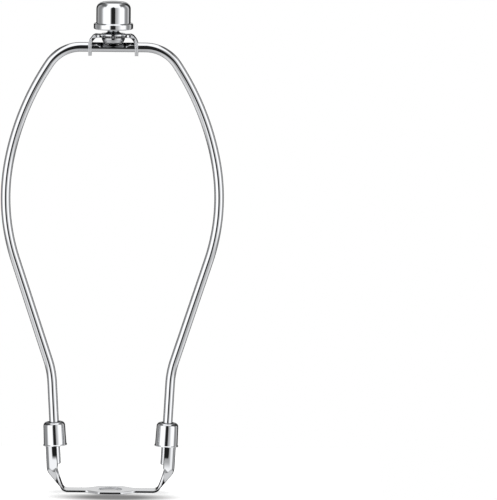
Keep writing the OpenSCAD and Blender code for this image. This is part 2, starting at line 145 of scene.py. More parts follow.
class BracketSizes(bpy.types.PropertyGroup):
    """Sizes of the swivel bracket and the cup riveted under it."""

    sheet: length("Sheet", "Thickness of the strip", 1.5)
    strip: length("Strip", "Width of the strip", 7.6)
    seat_height: length("Seat height", "Height of the shade seat", 203.2)
    ear_span: length("Ear span", "Between the middles of the ears", 20.4)
    level: length("Level half", "Half length of the level top", 7.2)
    slope: angle("Corner slope", "Slope between the two bends", 50.0)
    upper_bend: length("Upper bend", "Outer radius of the upper bend", 2.6)
    eye_gap: length("Eye gap", "Running clearance round the wire", 0.08)
    seat: length("Seat", "Diameter of the round seat", 10.9)
    band: length("Band", "Plain band above the serrations", 0.55)
    tooth: length("Serration depth", "Depth of a serration", 0.28)
    teeth: IntProperty(name="Serrations", description="Number round the seat", default=30, min=3)
    waist: length("Waist", "Width between the seat and an ear", 4.8)
    notch: length("Notch", "Radius of the notches at the waist", 2.1)
    cup: length("Cup", "Diameter of the cup's rim", 10.2)
    cup_waist: length("Cup waist", "Diameter where the side turns in", 9.3)
    cup_side: length("Cup side", "Height of the cup's side", 2.1)
    cup_slope: length("Cup slope", "Height of the sloping bottom", 1.2)
    cup_wall: length("Cup wall", "Thickness of the cup", 0.6)


class TopSizes(bpy.types.PropertyGroup):
    """Sizes of the threaded stud and the finial."""

    thread: length("Thread", "Major diameter of the stud's thread", 6.35)
    pitch: length("Pitch", "Rise of the thread in one turn", 0.94)
    relief: length("Relief", "Diameter of the relief under the thread", 5.1)
    flare_height: length("Flare height", "Height of the flared base", 1.3)
    flare_edge: length("Flare edge", "Upright edge of the flare", 0.25)
    relief_height: length("Relief height", "Height of the relief", 1.1)
    tail: length("Tail", "Diameter of the tail in the bracket", 4.0)
    tip: length("Tip", "Diameter of the riveted tip", 2.8)
    lift: length("Lift", "Underside of the finial above the seat", 2.2)
    height: length("Finial height", "Overall height of the finial", 12.3)
    body: length("Body", "Diameter of the finial's body", 15.1)
    flange: length("Flange", "Diameter of the finial's flange", 17.3)
    flange_height: length("Flange height", "Height of the flange", 2.6)
    crown_width: length("Crown width", "Width of the rounded upper corner", 3.2)
    crown_height: length("Crown height", "Height of the rounded upper corner", 3.1)
    dome: length("Dome", "Rise of the domed top", 0.35)
    edge: length("Edge", "Radius of the flange's rounded edges", 0.6)
    fillet: length("Fillet", "Radius between flange and body", 0.35)
    bore_depth: length("Bore depth", "Depth of the threaded hole", 8.0)
    bore_gap: length("Bore gap", "Radial clearance of the stud", 0.05)


class Finishes(bpy.types.PropertyGroup):
    """Colours and polish of the plating."""

    chrome: colour("Chrome", "Colour of the bright plating", (0.80, 0.81, 0.83))
    chrome_roughness: share("Chrome roughness", "Roughness of the bright plating", 0.045)
    steel: colour("Plated steel", "Colour of the stud", (0.36, 0.37, 0.385))
    steel_roughness: share("Steel roughness", "Roughness of the stud", 0.20)


class Studio(bpy.types.PropertyGroup):
    """Camera, floor and light."""

    distance: length("Distance", "Camera to the middle of the picture", 2700.0)
    aim_x: length("Aim across", "Where the camera aims, across", 60.1)
    aim_z: length("Aim height", "Where the camera aims, in height", 108.28)
    pitch: angle("Pitch", "How far the camera looks down", 7.5)
    roll: angle("Roll", "How far the camera is rolled", 0.54)
    lens: FloatProperty(name="Lens", description="Focal length in millimetres", default=444.2)
    floor_front: length("Floor front", "Front edge of the floor", 100.0)
    floor_side: length("Floor side", "Side edges of the floor", 120.0)
    floor_back: length("Floor back", "Back edge of the floor", 120.0)
    paper: colour("Paper", "Colour of the floor", (0.80, 0.80, 0.80))


# Numbers and meshes ----------------------------------------------------------


def mm(group):
    """All the values of a property group by name, lengths in millimetres and
    angles in radians."""
    values = {}
    for key, rna in group.bl_rna.properties.items():
        if rna.type in {"FLOAT", "INT"} and key not in {"rna_type"}:
            value = getattr(group, key)
            if rna.unit == "LENGTH":
                value = value / MM
            values[key] = value
    return type("Sizes", (), values)


def along(a):
    """The direction at angle a from straight up towards +X, as [x, z]."""
    return np.stack([np.sin(a), np.cos(a)], axis=-1)


def heading(a):
    """The direction at angle a from +X towards up, as [x, z]."""
    return np.stack([np.cos(a), np.sin(a)], axis=-1)


def softer_min(a, b, soft):
    """The smaller of two values, with the corner where they meet rounded off."""
    return 0.5 * (a + b) - 0.5 * np.sqrt((a - b) ** 2 + soft**2)


def softer_max(a, b, soft):
    """The larger of two values, with the corner where they meet rounded."""
    return 0.5 * (a + b) + 0.5 * np.sqrt((a - b) ** 2 + soft**2)


def spaced(*marks):
    """Numbers that run through marks of (value, number of steps from the last)."""
    parts = [np.array([marks[0][0]])]
    for (start, _), (end, count) in zip(marks[:-1], marks[1:]):
        parts.append(np.linspace(start, end, count + 1)[1:])
    return np.concatenate(parts)


def rounded(corners, steps=6):
    """A closed outline whose corners, given as (x, y, radius), are rounded:
    each corner gives an arc that touches both of its sides."""
    outline = []
    points = np.array([c[:2] for c in corners], float)
    for i, (_, _, radius) in enumerate(corners):
        here = points[i]
        to_last, to_next = points[i - 1] - here, points[(i + 1) % len(points)] - here
        to_last = to_last / np.linalg.norm(to_last)
        to_next = to_next / np.linalg.norm(to_next)
        half = 0.5 * np.arccos(np.clip(to_last @ to_next, -1.0, 1.0))
        if radius <= 0.0 or half > 0.5 * HALF_TURN - 1e-3:
            outline.append(here[None])
            continue
        reach = radius / np.tan(half)
        middle = (to_last + to_next) / np.linalg.norm(to_last + to_next)
        centre = here + middle * radius / np.sin(half)
        start, end = here + to_last * reach - centre, here + to_next * reach - centre
        turn = HALF_TURN - 2.0 * half
        t = np.linspace(0.0, 1.0, steps + 1)[:, None]
        outline.append(
            centre + (np.sin((1 - t) * turn) * start + np.sin(t * turn) * end) / np.sin(turn)
        )
    return np.concatenate(outline)


def patch(points, wrap_rows=False, wrap_columns=False):
    """A grid of points, and its quads as indexes into the grid."""
    rows, columns = points.shape[:2]
    index = np.arange(rows * columns).reshape(rows, columns)
    if wrap_rows:
        index = np.vstack([index, index[:1]])
    if wrap_columns:
        index = np.hstack([index, index[:, :1]])
    quads = np.stack(
        [index[:-1, :-1], index[1:, :-1], index[1:, 1:], index[:-1, 1:]], axis=-1
    )
    return points.reshape(-1, 3), quads.reshape(-1, 4)


def mirrored(patches):
    """The same patches on the other side of X = 0."""
    return [(points * np.array([-1.0, 1.0, 1.0]), quads[:, ::-1]) for points, quads in patches]


def build(name, patches, sharp=32.0):
    """A mesh object from patches in millimetres. Points that meet are joined,
    quads that shrink to a line are left out, and all faces look outwards."""
    points = np.concatenate([p for p, _ in patches])
    starts = np.cumsum([0] + [len(p) for p, _ in patches[:-1]])
    quads = np.concatenate([q + start for (_, q), start in zip(patches, starts)])
    keys, first, joined = np.unique(
        np.round(points * 2000.0).astype(np.int64), axis=0, return_index=True, return_inverse=True
    )
    points, quads = points[first] * MM, joined.reshape(-1)[quads]
    same = quads == np.roll(quads, -1, axis=1)
    across = (quads[:, 0] == quads[:, 2]) | (quads[:, 1] == quads[:, 3])
    whole = ~same.any(axis=1) & ~across
    pinched = (same.sum(axis=1) == 1) & ~across
    three = quads[pinched]
    keep = ~same[pinched]
    faces = quads[whole].tolist() + three[keep].reshape(-1, 3).tolist()

    mesh = bpy.data.meshes.new(name)
    mesh.from_pydata(points.tolist(), [], faces)
    shell = bmesh.new()
    shell.from_mesh(mesh)
    bmesh.ops.recalc_face_normals(shell, faces=shell.faces)
    shell.to_mesh(mesh)
    shell.free()
    mesh.shade_smooth()
    mesh.set_sharp_from_angle(angle=float(np.radians(sharp)))
    piece = bpy.data.objects.new(name, mesh)
    bpy.context.scene.collection.objects.link(piece)
    return piece


def revolve(outline, around=128, closed=True):
    """A patch turned about Z: each point (r, z) of the outline goes round a
    full circle."""
    a = np.linspace(0.0, 2.0 * HALF_TURN, around, endpoint=False)
    r, z = outline[:, 0][:, None], outline[:, 1][:, None]
    points = np.stack([r * np.cos(a), r * np.sin(a), z + 0.0 * a], axis=-1)
    return patch(points, wrap_rows=closed, wrap_columns=True)


def dress(piece, material, body, node):
    """Gives a piece its material and the body it moves with, and hides the
    solid that it stands for."""
    piece.data.materials.append(material)
    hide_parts(node)
    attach(piece, body)
    return piece


# Finishes --------------------------------------------------------------------


def add_node(tree, kind, links=None, **settings):
    """A node with its settings and its input links or values."""
    node = tree.nodes.new(kind)
    for key, value in settings.items():
        setattr(node, key, value)
    for socket, source in (links or {}).items():
        if isinstance(source, bpy.types.NodeSocket):
            tree.links.new(source, node.inputs[socket])
        else:
            node.inputs[socket].default_value = source
    return node


def maths(tree, operation, *values):
    """The result of a Math node on links or numbers."""
    node = add_node(tree, "ShaderNodeMath", dict(enumerate(values)), operation=operation)
    return node.outputs["Value"]


def eased(tree, value, start, end, low, high):
    """A value that goes smoothly from low to high between start and end."""
    return add_node(
        tree, "ShaderNodeMapRange",
        {"Value": value, "From Min": start, "From Max": end, "To Min": low, "To Max": high},
        interpolation_type="SMOOTHSTEP",
    ).outputs["Result"]


def mixed(tree, a, b, share_of_b):
    """A value between a and b."""
    return add_node(
        tree, "ShaderNodeMix", {"Factor": share_of_b, 2: a, 3: b}, data_type="FLOAT"
    ).outputs[0]


def polish_group():
    """Node group of the polish: a faint cloudiness from buffing, fine wiping
    marks, and a soft unevenness of the plating. It gives a colour, a
    roughness and a height."""
    known = bpy.data.node_groups.get("Polish")
    if known:
        return known
    tree = bpy.data.node_groups.new("Polish", "ShaderNodeTree")
    face = tree.interface
    for name, kind, value in (
        ("Tone", "NodeSocketColor", (0.8, 0.8, 0.8, 1.0)),
        ("Roughness", "NodeSocketFloat", 0.05),
        ("Cloud Scale", "NodeSocketFloat", 90.0),
        ("Mark Scale", "NodeSocketFloat", 2500.0),
        ("Unevenness", "NodeSocketFloat", 0.5),
    ):
        face.new_socket(name=name, in_out="INPUT", socket_type=kind).default_value = value
    face.new_socket(name="Color", in_out="OUTPUT", socket_type="NodeSocketColor")
    face.new_socket(name="Roughness", in_out="OUTPUT", socket_type="NodeSocketFloat")
    face.new_socket(name="Height", in_out="OUTPUT", socket_type="NodeSocketFloat")
    given = tree.nodes.new("NodeGroupInput").outputs
    place = add_node(tree, "ShaderNodeTexCoord").outputs["Object"]
    cloud = add_node(
        tree, "ShaderNodeTexNoise",
        {"Vector": place, "Scale": given["Cloud Scale"], "Detail": 3.0, "Roughness": 0.55},
    ).outputs["Fac"]
    stretched = add_node(
        tree, "ShaderNodeMapping", {"Vector": place, "Scale": (1.0, 1.0, 0.12)}
    ).outputs["Vector"]
    marks = add_node(
        tree, "ShaderNodeTexNoise",
        {"Vector": stretched, "Scale": given["Mark Scale"], "Detail": 2.0},
    ).outputs["Fac"]
    tone = add_node(
        tree, "ShaderNodeMapRange",
        {"Value": cloud, "From Min": 0.3, "From Max": 0.7, "To Min": 0.97, "To Max": 1.0},
    ).outputs["Result"]
    tinted = add_node(
        tree, "ShaderNodeVectorMath", {0: given["Tone"], 1: tone}, operation="MULTIPLY"
    ).outputs["Vector"]
    both = add_node(
        tree, "ShaderNodeMath", {0: cloud, 1: marks}, operation="MULTIPLY"
    ).outputs["Value"]
    spread = add_node(
        tree, "ShaderNodeMapRange",
        {"Value": both, "From Min": 0.12, "From Max": 0.42, "To Min": 0.75, "To Max": 1.35},
    ).outputs["Result"]
    rough = add_node(
        tree, "ShaderNodeMath", {0: given["Roughness"], 1: spread}, operation="MULTIPLY"
    ).outputs["Value"]
    height = add_node(
        tree, "ShaderNodeMath", {0: cloud, 1: given["Unevenness"]}, operation="MULTIPLY"
    ).outputs["Value"]
    add_node(tree, "NodeGroupOutput", {"Color": tinted, "Roughness": rough, "Height": height})
    return tree


def serration_shade_group():
    """Node group of painted shade in the seat's serrations: dark in each
    groove, below the plain band and near the seat's rim, and 1 elsewhere."""
    tree = bpy.data.node_groups.new("Soiled serrations", "ShaderNodeTree")
    for name in ("Radius", "Top", "Bottom", "Teeth", "Depth"):
        tree.interface.new_socket(name=name, in_out="INPUT", socket_type="NodeSocketFloat")
    tree.interface.new_socket(name="Value", in_out="OUTPUT", socket_type="NodeSocketFloat")
    given = tree.nodes.new("NodeGroupInput").outputs
    place = add_node(tree, "ShaderNodeTexCoord").outputs["Object"]
    parts = add_node(tree, "ShaderNodeSeparateXYZ", {"Vector": place}).outputs
    squares = [maths(tree, "MULTIPLY", parts[key], parts[key]) for key in ("X", "Y")]
    out = maths(tree, "SQRT", maths(tree, "ADD", *squares))
    turn = maths(tree, "DIVIDE", maths(tree, "ARCTAN2", parts["Y"], parts["X"]), 2.0 * HALF_TURN)
    phase = maths(tree, "FRACT", maths(tree, "MULTIPLY", turn, given["Teeth"]))
    tooth = maths(tree, "ABSOLUTE", maths(tree, "MULTIPLY_ADD", phase, 2.0, -1.0))
    groove = eased(tree, tooth, 0.2, 0.6, 0.78, 1.0)
    for key, reach in (("Bottom", 1.0), ("Top", -1.0)):
        past = maths(tree, "MULTIPLY", maths(tree, "SUBTRACT", parts["Z"], given[key]), reach)
        groove = maths(tree, "MULTIPLY", groove, maths(tree, "GREATER_THAN", past, 0.0))
    inside = maths(tree, "LESS_THAN", out, given["Radius"])
    near = maths(tree, "GREATER_THAN", out, maths(tree, "MULTIPLY", given["Radius"], 0.75))
    groove = maths(tree, "MULTIPLY", groove, maths(tree, "MULTIPLY", inside, near))
    value = maths(tree, "MULTIPLY_ADD", maths(tree, "MULTIPLY", groove, given["Depth"]), -1.0, 1.0)
    add_node(tree, "NodeGroupOutput", {"Value": value})
    return tree


def painted_shade_group():
    """Node group of painted shade: dark between two heights and within a
    reach of the axis, and 1 elsewhere."""
    tree = bpy.data.node_groups.get("Dull plating")
    if tree:
        return tree
    tree = bpy.data.node_groups.new("Dull plating", "ShaderNodeTree")
    for name in ("Low", "High", "Reach", "Depth"):
        tree.interface.new_socket(name=name, in_out="INPUT", socket_type="NodeSocketFloat")
    tree.interface.new_socket(name="Value", in_out="OUTPUT", socket_type="NodeSocketFloat")
    given = tree.nodes.new("NodeGroupInput").outputs
    place = add_node(tree, "ShaderNodeTexCoord").outputs["Object"]
    parts = add_node(tree, "ShaderNodeSeparateXYZ", {"Vector": place}).outputs
    within = maths(
        tree, "MULTIPLY", maths(tree, "GREATER_THAN", parts["Z"], given["Low"]),
        maths(tree, "LESS_THAN", parts["Z"], given["High"]),
    )
    for key in ("X", "Y"):
        far = maths(tree, "ABSOLUTE", parts[key])
        within = maths(tree, "MULTIPLY", within, maths(tree, "LESS_THAN", far, given["Reach"]))
    value = maths(tree, "MULTIPLY_ADD", maths(tree, "MULTIPLY", within, given["Depth"]), -1.0, 1.0)
    add_node(tree, "NodeGroupOutput", {"Value": value})
    return tree


def edge_group():
    """Node group of sheared edges: 1 past a distance from the middle of the
    width, outside a round seat, and in a hole, and 0 elsewhere."""
    tree = bpy.data.node_groups.get("Sheared edge")
    if tree:
        return tree
    tree = bpy.data.node_groups.new("Sheared edge", "ShaderNodeTree")
    for name in ("Half Width", "Radius", "Hole"):
        tree.interface.new_socket(name=name, in_out="INPUT", socket_type="NodeSocketFloat")
    tree.interface.new_socket(name="Value", in_out="OUTPUT", socket_type="NodeSocketFloat")
    given = tree.nodes.new("NodeGroupInput").outputs
    place = add_node(tree, "ShaderNodeTexCoord").outputs["Object"]
    parts = add_node(tree, "ShaderNodeSeparateXYZ", {"Vector": place}).outputs
    squares = [maths(tree, "MULTIPLY", parts[key], parts[key]) for key in ("X", "Y")]
    out = maths(tree, "SQRT", maths(tree, "ADD", *squares))
    past = maths(tree, "GREATER_THAN", maths(tree, "ABSOLUTE", parts["Y"]), given["Half Width"])
    value = maths(tree, "MULTIPLY", past, maths(tree, "GREATER_THAN", out, given["Radius"]))
    value = maths(tree, "MAXIMUM", value, maths(tree, "LESS_THAN", out, given["Hole"]))
    add_node(tree, "NodeGroupOutput", {"Value": value})
    return tree


def sleeve_shade_group():
    """Node group of painted shade inside a drawn sleeve: dark within the bore
    and the hole in its top, measured from the leaning axis of a leg, and 1
    elsewhere."""
    tree = bpy.data.node_groups.get("Sleeve inside")
    if tree:
        return tree
    tree = bpy.data.node_groups.new("Sleeve inside", "ShaderNodeTree")
    for name in ("Foot", "Lean", "Top", "Bore", "Hole", "Depth"):
        tree.interface.new_socket(name=name, in_out="INPUT", socket_type="NodeSocketFloat")
    tree.interface.new_socket(name="Value", in_out="OUTPUT", socket_type="NodeSocketFloat")
    given = tree.nodes.new("NodeGroupInput").outputs
    place = add_node(tree, "ShaderNodeTexCoord").outputs["Object"]
    parts = add_node(tree, "ShaderNodeSeparateXYZ", {"Vector": place}).outputs
    axis = maths(tree, "MULTIPLY_ADD", parts["Z"], given["Lean"], given["Foot"])
    off = maths(tree, "SUBTRACT", maths(tree, "ABSOLUTE", parts["X"]), axis)
    squares = [maths(tree, "MULTIPLY", value, value) for value in (off, parts["Y"])]
    out = maths(tree, "SQRT", maths(tree, "ADD", *squares))
    bore = maths(tree, "LESS_THAN", out, given["Bore"])
    bore = maths(tree, "MULTIPLY", bore, maths(tree, "LESS_THAN", parts["Z"], given["Top"]))
    dark = maths(tree, "MAXIMUM", bore, maths(tree, "LESS_THAN", out, given["Hole"]))
    value = maths(tree, "MULTIPLY_ADD", maths(tree, "MULTIPLY", dark, given["Depth"]), -1.0, 1.0)
    add_node(tree, "NodeGroupOutput", {"Value": value})
    return tree


def plating(name, tone, roughness, cloud_scale, unevenness, painted_shades=(), sheared=None, glance=1.0):
    """A plated metal: a fully metallic surface whose colour, roughness and
    slight unevenness come from the polish group. Its colour is darkened by
    painted shade where the painted shade groups say so, and it is rougher
    where it is sheared. The glance is the tint of what it reflects at a glancing angle."""
    known = bpy.data.materials.get(name)
    if known:
        return known
    material = bpy.data.materials.new(name)
    material.use_nodes = True
    tree = material.node_tree
    tree.nodes.clear()
    polish = add_node(
        tree, "ShaderNodeGroup",
        {}, node_tree=polish_group(),
    )
    polish.inputs["Tone"].default_value = (*tone, 1.0)
    polish.inputs["Roughness"].default_value = roughness
    polish.inputs["Cloud Scale"].default_value = cloud_scale
    polish.inputs["Unevenness"].default_value = unevenness
    bump = add_node(
        tree, "ShaderNodeBump",
        {"Height": polish.outputs["Height"], "Strength": 0.3, "Distance": 0.00004},
    )
    colour_out = polish.outputs["Color"]
    # Painted shade: each group darkens the colour where shade falls
    for group, values in painted_shades:
        shade_node = add_node(tree, "ShaderNodeGroup", {}, node_tree=group)
        for key, value in values.items():
            shade_node.inputs[key].default_value = value
        colour_out = add_node(
            tree, "ShaderNodeVectorMath", {0: colour_out, 1: shade_node.outputs["Value"]},
            operation="MULTIPLY",
        ).outputs["Vector"]
    rough_out = polish.outputs["Roughness"]
    if sheared:
        cut = add_node(tree, "ShaderNodeGroup", {}, node_tree=edge_group())
        for key, value in sheared.items():
            cut.inputs[key].default_value = value
        rough_out = mixed(tree, rough_out, 0.7, cut.outputs["Value"])
    shader = add_node(
        tree, "ShaderNodeBsdfPrincipled",
        {
            "Base Color": colour_out,
            "Roughness": rough_out,
            "Normal": bump.outputs["Normal"],
            "Metallic": 1.0,
            "Specular Tint": (glance, glance, glance, 1.0),
        },
    )
    add_node(tree, "ShaderNodeOutputMaterial", {"Surface": shader.outputs["BSDF"]})
    material.diffuse_color = (*tone, 1.0)
    return material


def bright(context):
    """The chrome of the wire, the sheet parts and the finial."""
    look = context.scene.harp_finishes
    return plating("Bright chrome", tuple(look.chrome), look.chrome_roughness, 90.0, 0.5)


def shaded_bracket(context):
    """The chrome of the bracket: painted shade in the serrations of its seat and
    on the underside of its level top and bends, and rough on its sheared edges."""
    look, b = context.scene.harp_finishes, context.scene.harp_bracket
    underside = b.seat_height - b.sheet
    # Painted shade in the serrations of the seat
    serrations = {
        "Radius": b.seat / 2 + MM, "Top": b.seat_height - b.band, "Bottom": underside,
        "Teeth": float(b.teeth), "Depth": 0.9,
    }
    # Painted shade under the level top and the bends
    reach = (b.ear_span - b.sheet) / 2 - 0.1 * MM
    shade_patch = {"High": underside + 0.03 * MM, "Reach": reach, "Depth": 0.92}
    return plating(
        "Bracket chrome", tuple(look.chrome), look.chrome_roughness, 90.0, 0.5,
        ((serration_shade_group(), serrations), (painted_shade_group(), shade_patch)),
        {"Half Width": b.strip / 2 - 0.4 * MM, "Radius": b.seat / 2 + 0.1 * MM},
    )


def coined(context):
    """The chrome of the wire, with painted shade on the seat struck under the cup."""
    look, bow, b = context.scene.harp_finishes, context.scene.harp_bow, context.scene.harp_bracket
    # Painted shade on the wire's top under the cup
    shade_patch = {"Low": bow.top_height - 0.2 * MM, "High": 1.0, "Reach": b.cup / 2 + 0.4 * MM, "Depth": 0.7}
    return plating(
        "Wire chrome", tuple(look.chrome), 0.4 * look.chrome_roughness, 90.0, 0.3,
        ((painted_shade_group(), shade_patch),), glance=0.0,
    )


def sleeve(context):
    """The chrome of the ferrules, with painted shade inside."""
    look, f, bow = context.scene.harp_finishes, context.scene.harp_ferrule, context.scene.harp_bow
    # Painted shade inside the bore and the hole in the top
    inside = {
        "Foot": bow.leg_span / 2, "Lean": float(np.tan(bow.leg_lean)),
        "Top": f.foot_height + f.length - 0.7 * MM, "Bore": f.diameter / 2 - f.wall + 0.02 * MM,
        "Hole": bow.wire / 2 + f.gap + 0.03 * MM, "Depth": 0.93,
    }
    return plating(
        "Ferrule chrome", tuple(look.chrome), look.chrome_roughness, 90.0, 0.5,
        ((sleeve_shade_group(), inside),), glance=0.3,
    )


def pressed(context):
    """The chrome of the saddle, a little dimmer, and rough in its punched hole."""
    look, hole = context.scene.harp_finishes, context.scene.harp_saddle.hole
    tone = tuple(0.86 * part for part in look.chrome)
    return plating(
        "Saddle chrome", tone, look.chrome_roughness, 90.0, 0.5, (),
        {"Half Width": 1.0, "Radius": 1.0, "Hole": hole / 2 + 0.03 * MM},
    )


def hollow(context):
    """The chrome of the finial, with painted shade on its underside."""
    look, t, b = context.scene.harp_finishes, context.scene.harp_top, context.scene.harp_bracket
    # Painted shade on the finial's underside
    shade_patch = {
        "High": b.seat_height + t.lift + 0.1 * MM, "Reach": t.flange / 2 - 0.4 * MM, "Depth": 0.9
    }
    return plating(
        "Finial chrome", tuple(look.chrome), look.chrome_roughness, 90.0, 0.5,
        ((painted_shade_group(), shade_patch),),
    )


def shaded_cup(context):
    """The chrome of the pressed cup, darkened to 0.7 as painted shade under the bracket, and rougher."""
    look = context.scene.harp_finishes
    # The colour at 0.7 of the chrome is painted shade
    return plating("Cup chrome", tuple(0.7 * v for v in look.chrome), 0.08, 200.0, 0.8)


def dull(context):
    """The duller plated steel of the stud."""
    look = context.scene.harp_finishes
    return plating("Plated steel", tuple(look.steel), look.steel_roughness, 400.0, 1.0)


# Bow wire --------------------------------------------------------------------


def bow_path(s):
    """The right half of the bow's centreline from the middle of the top to the
    foot: arcs that run into one another, then the line that touches the
    belly's circle and the knee's, then the leg. Gives places [x, z] and the
    angle of the outward normal at each."""
    first, second = s.shoulder_turn, s.shoulder_turn + s.flank_turn
    last = 0.5 * HALF_TURN + s.leg_lean
    shoulder = np.array([s.top_length / 2, s.top_height - s.shoulder])
    flank = shoulder + (s.shoulder - s.flank) * along(first)
    belly = flank + (s.flank - s.belly) * along(second)

    def leg(z):
        return np.stack([s.leg_span / 2 + z * np.tan(s.leg_lean), z], axis=-1)

    knee = leg(s.knee_height) + s.knee * along(last)
    gap = knee - belly
    third = np.arctan2(gap[0], gap[1]) - np.arccos((s.belly + s.knee) / np.linalg.norm(gap))

    fine, plain = s.facet_length / 2 + s.facet_ramp + 0.3, s.top_length / 2
    top_x = spaced((0.0, 0), (fine, 76), (plain, 10))
    parts = [(np.stack([top_x, 0 * top_x + s.top_height], axis=-1), 0 * top_x)]
    for centre, radius, start, end, count in (
        (shoulder, s.shoulder, 0.0, first, 26),
        (flank, s.flank, first, second, 34),
        (belly, s.belly, second, third, 40),
        (knee, -s.knee, third, last, 22),
    ):
        a = np.linspace(start, end, count + 1)
        a = a[1:] if radius > 0 else a
        parts.append((centre + radius * along(a), a))
    ends = spaced((s.knee_height, 0), (s.end_height + 0.3, 24), (s.end_height, 1))[1:]
    parts.append((leg(ends), 0 * ends + last))
    return np.concatenate([p for p, _ in parts]), np.concatenate([a for _, a in parts])


def struck_radius(s, cup, x, turn):
    """Distance from the wire's axis to its skin at the place x along the top
    and the angle turn from straight up: the smallest of the round skin, two
    facets tipped 45 degrees to the front and back, and the seat that the cup
    swings in, which is tipped a little each way under the cup's outline."""
    skin = s.wire / 2
    depth = np.clip((s.facet_length / 2 + s.facet_ramp - np.abs(x)) / s.facet_ramp, 0.0, 1.0)
    facet = skin - s.facet_depth * depth
    far = 4.0 * skin
    floor = np.interp(np.abs(x), cup[:, 0], cup[:, 1], right=far)
    limits = [np.full(np.broadcast(x, turn).shape, skin)]
    for level, tip in ((facet, 0.25), (facet, -0.25), (floor, 0.07), (floor, -0.07)):
        down = np.cos(turn - tip * HALF_TURN)
        limits.append(np.minimum(far, level / np.maximum(down, 0.05)) + 0.0 * turn)
    sharpness = 60.0
    total = sum(np.exp(-sharpness * (limit - skin)) for limit in limits)
    return skin - np.log(total) / sharpness


def bow_patches(s, b, t):
    """The skin of the bow: at each place, a ring about the centreline whose
    distance is the struck radius, with a small chamfer at the cut ends."""
    place, normal = bow_path(s)
    skin = s.wire / 2
    turn = np.sort(np.concatenate([
        np.linspace(-HALF_TURN, HALF_TURN, 72, endpoint=False),
        np.radians([-89.4, -0.6, 0.6, 89.4]),
    ]))
    cup_low = b.seat_height - s.top_height - b.sheet - b.cup_side - b.cup_slope
    cup_seat = cup_outer(b, t)[:3] + np.array([0.0, cup_low - 0.1])
    on_top = (normal == 0.0)[:, None]
    radius = np.where(on_top, struck_radius(s, cup_seat, place[:, :1], turn[None]), skin)
    radius[-1] = skin - 0.3
    out, place = along(normal), place
    ring = place[:, None, :] + (radius * np.cos(turn))[..., None] * out[:, None, :]
    points = np.stack([ring[..., 0], radius * np.sin(turn), ring[..., 1]], axis=-1)
    tip = np.broadcast_to([place[-1, 0], 0.0, place[-1, 1]], points[:1].shape)
    half = [patch(np.concatenate([points, tip]), wrap_columns=True)]
    return half + mirrored(half)


class OBJECT_OT_bow_wire(bpy.types.Operator):
    """Makes the bent wire with its struck middle."""

    bl_idname = "lamp_harp.bow_wire"
    bl_label = "Bow wire"

    def execute(self, context):
        scene = context.scene
        sizes = mm(scene.harp_bow), mm(scene.harp_bracket), mm(scene.harp_top)
        wire = build("Bow_wire", bow_patches(*sizes), sharp=24.0)
        dress(wire, coined(context), "frame", "harp_wire")
        return {"FINISHED"}


# Saddle ----------------------------------------------------------------------


def ferrule_side(f, z):
    """A ferrule's outer radius at a height above its foot."""
    return f.diameter / 2 - f.taper * z / f.length


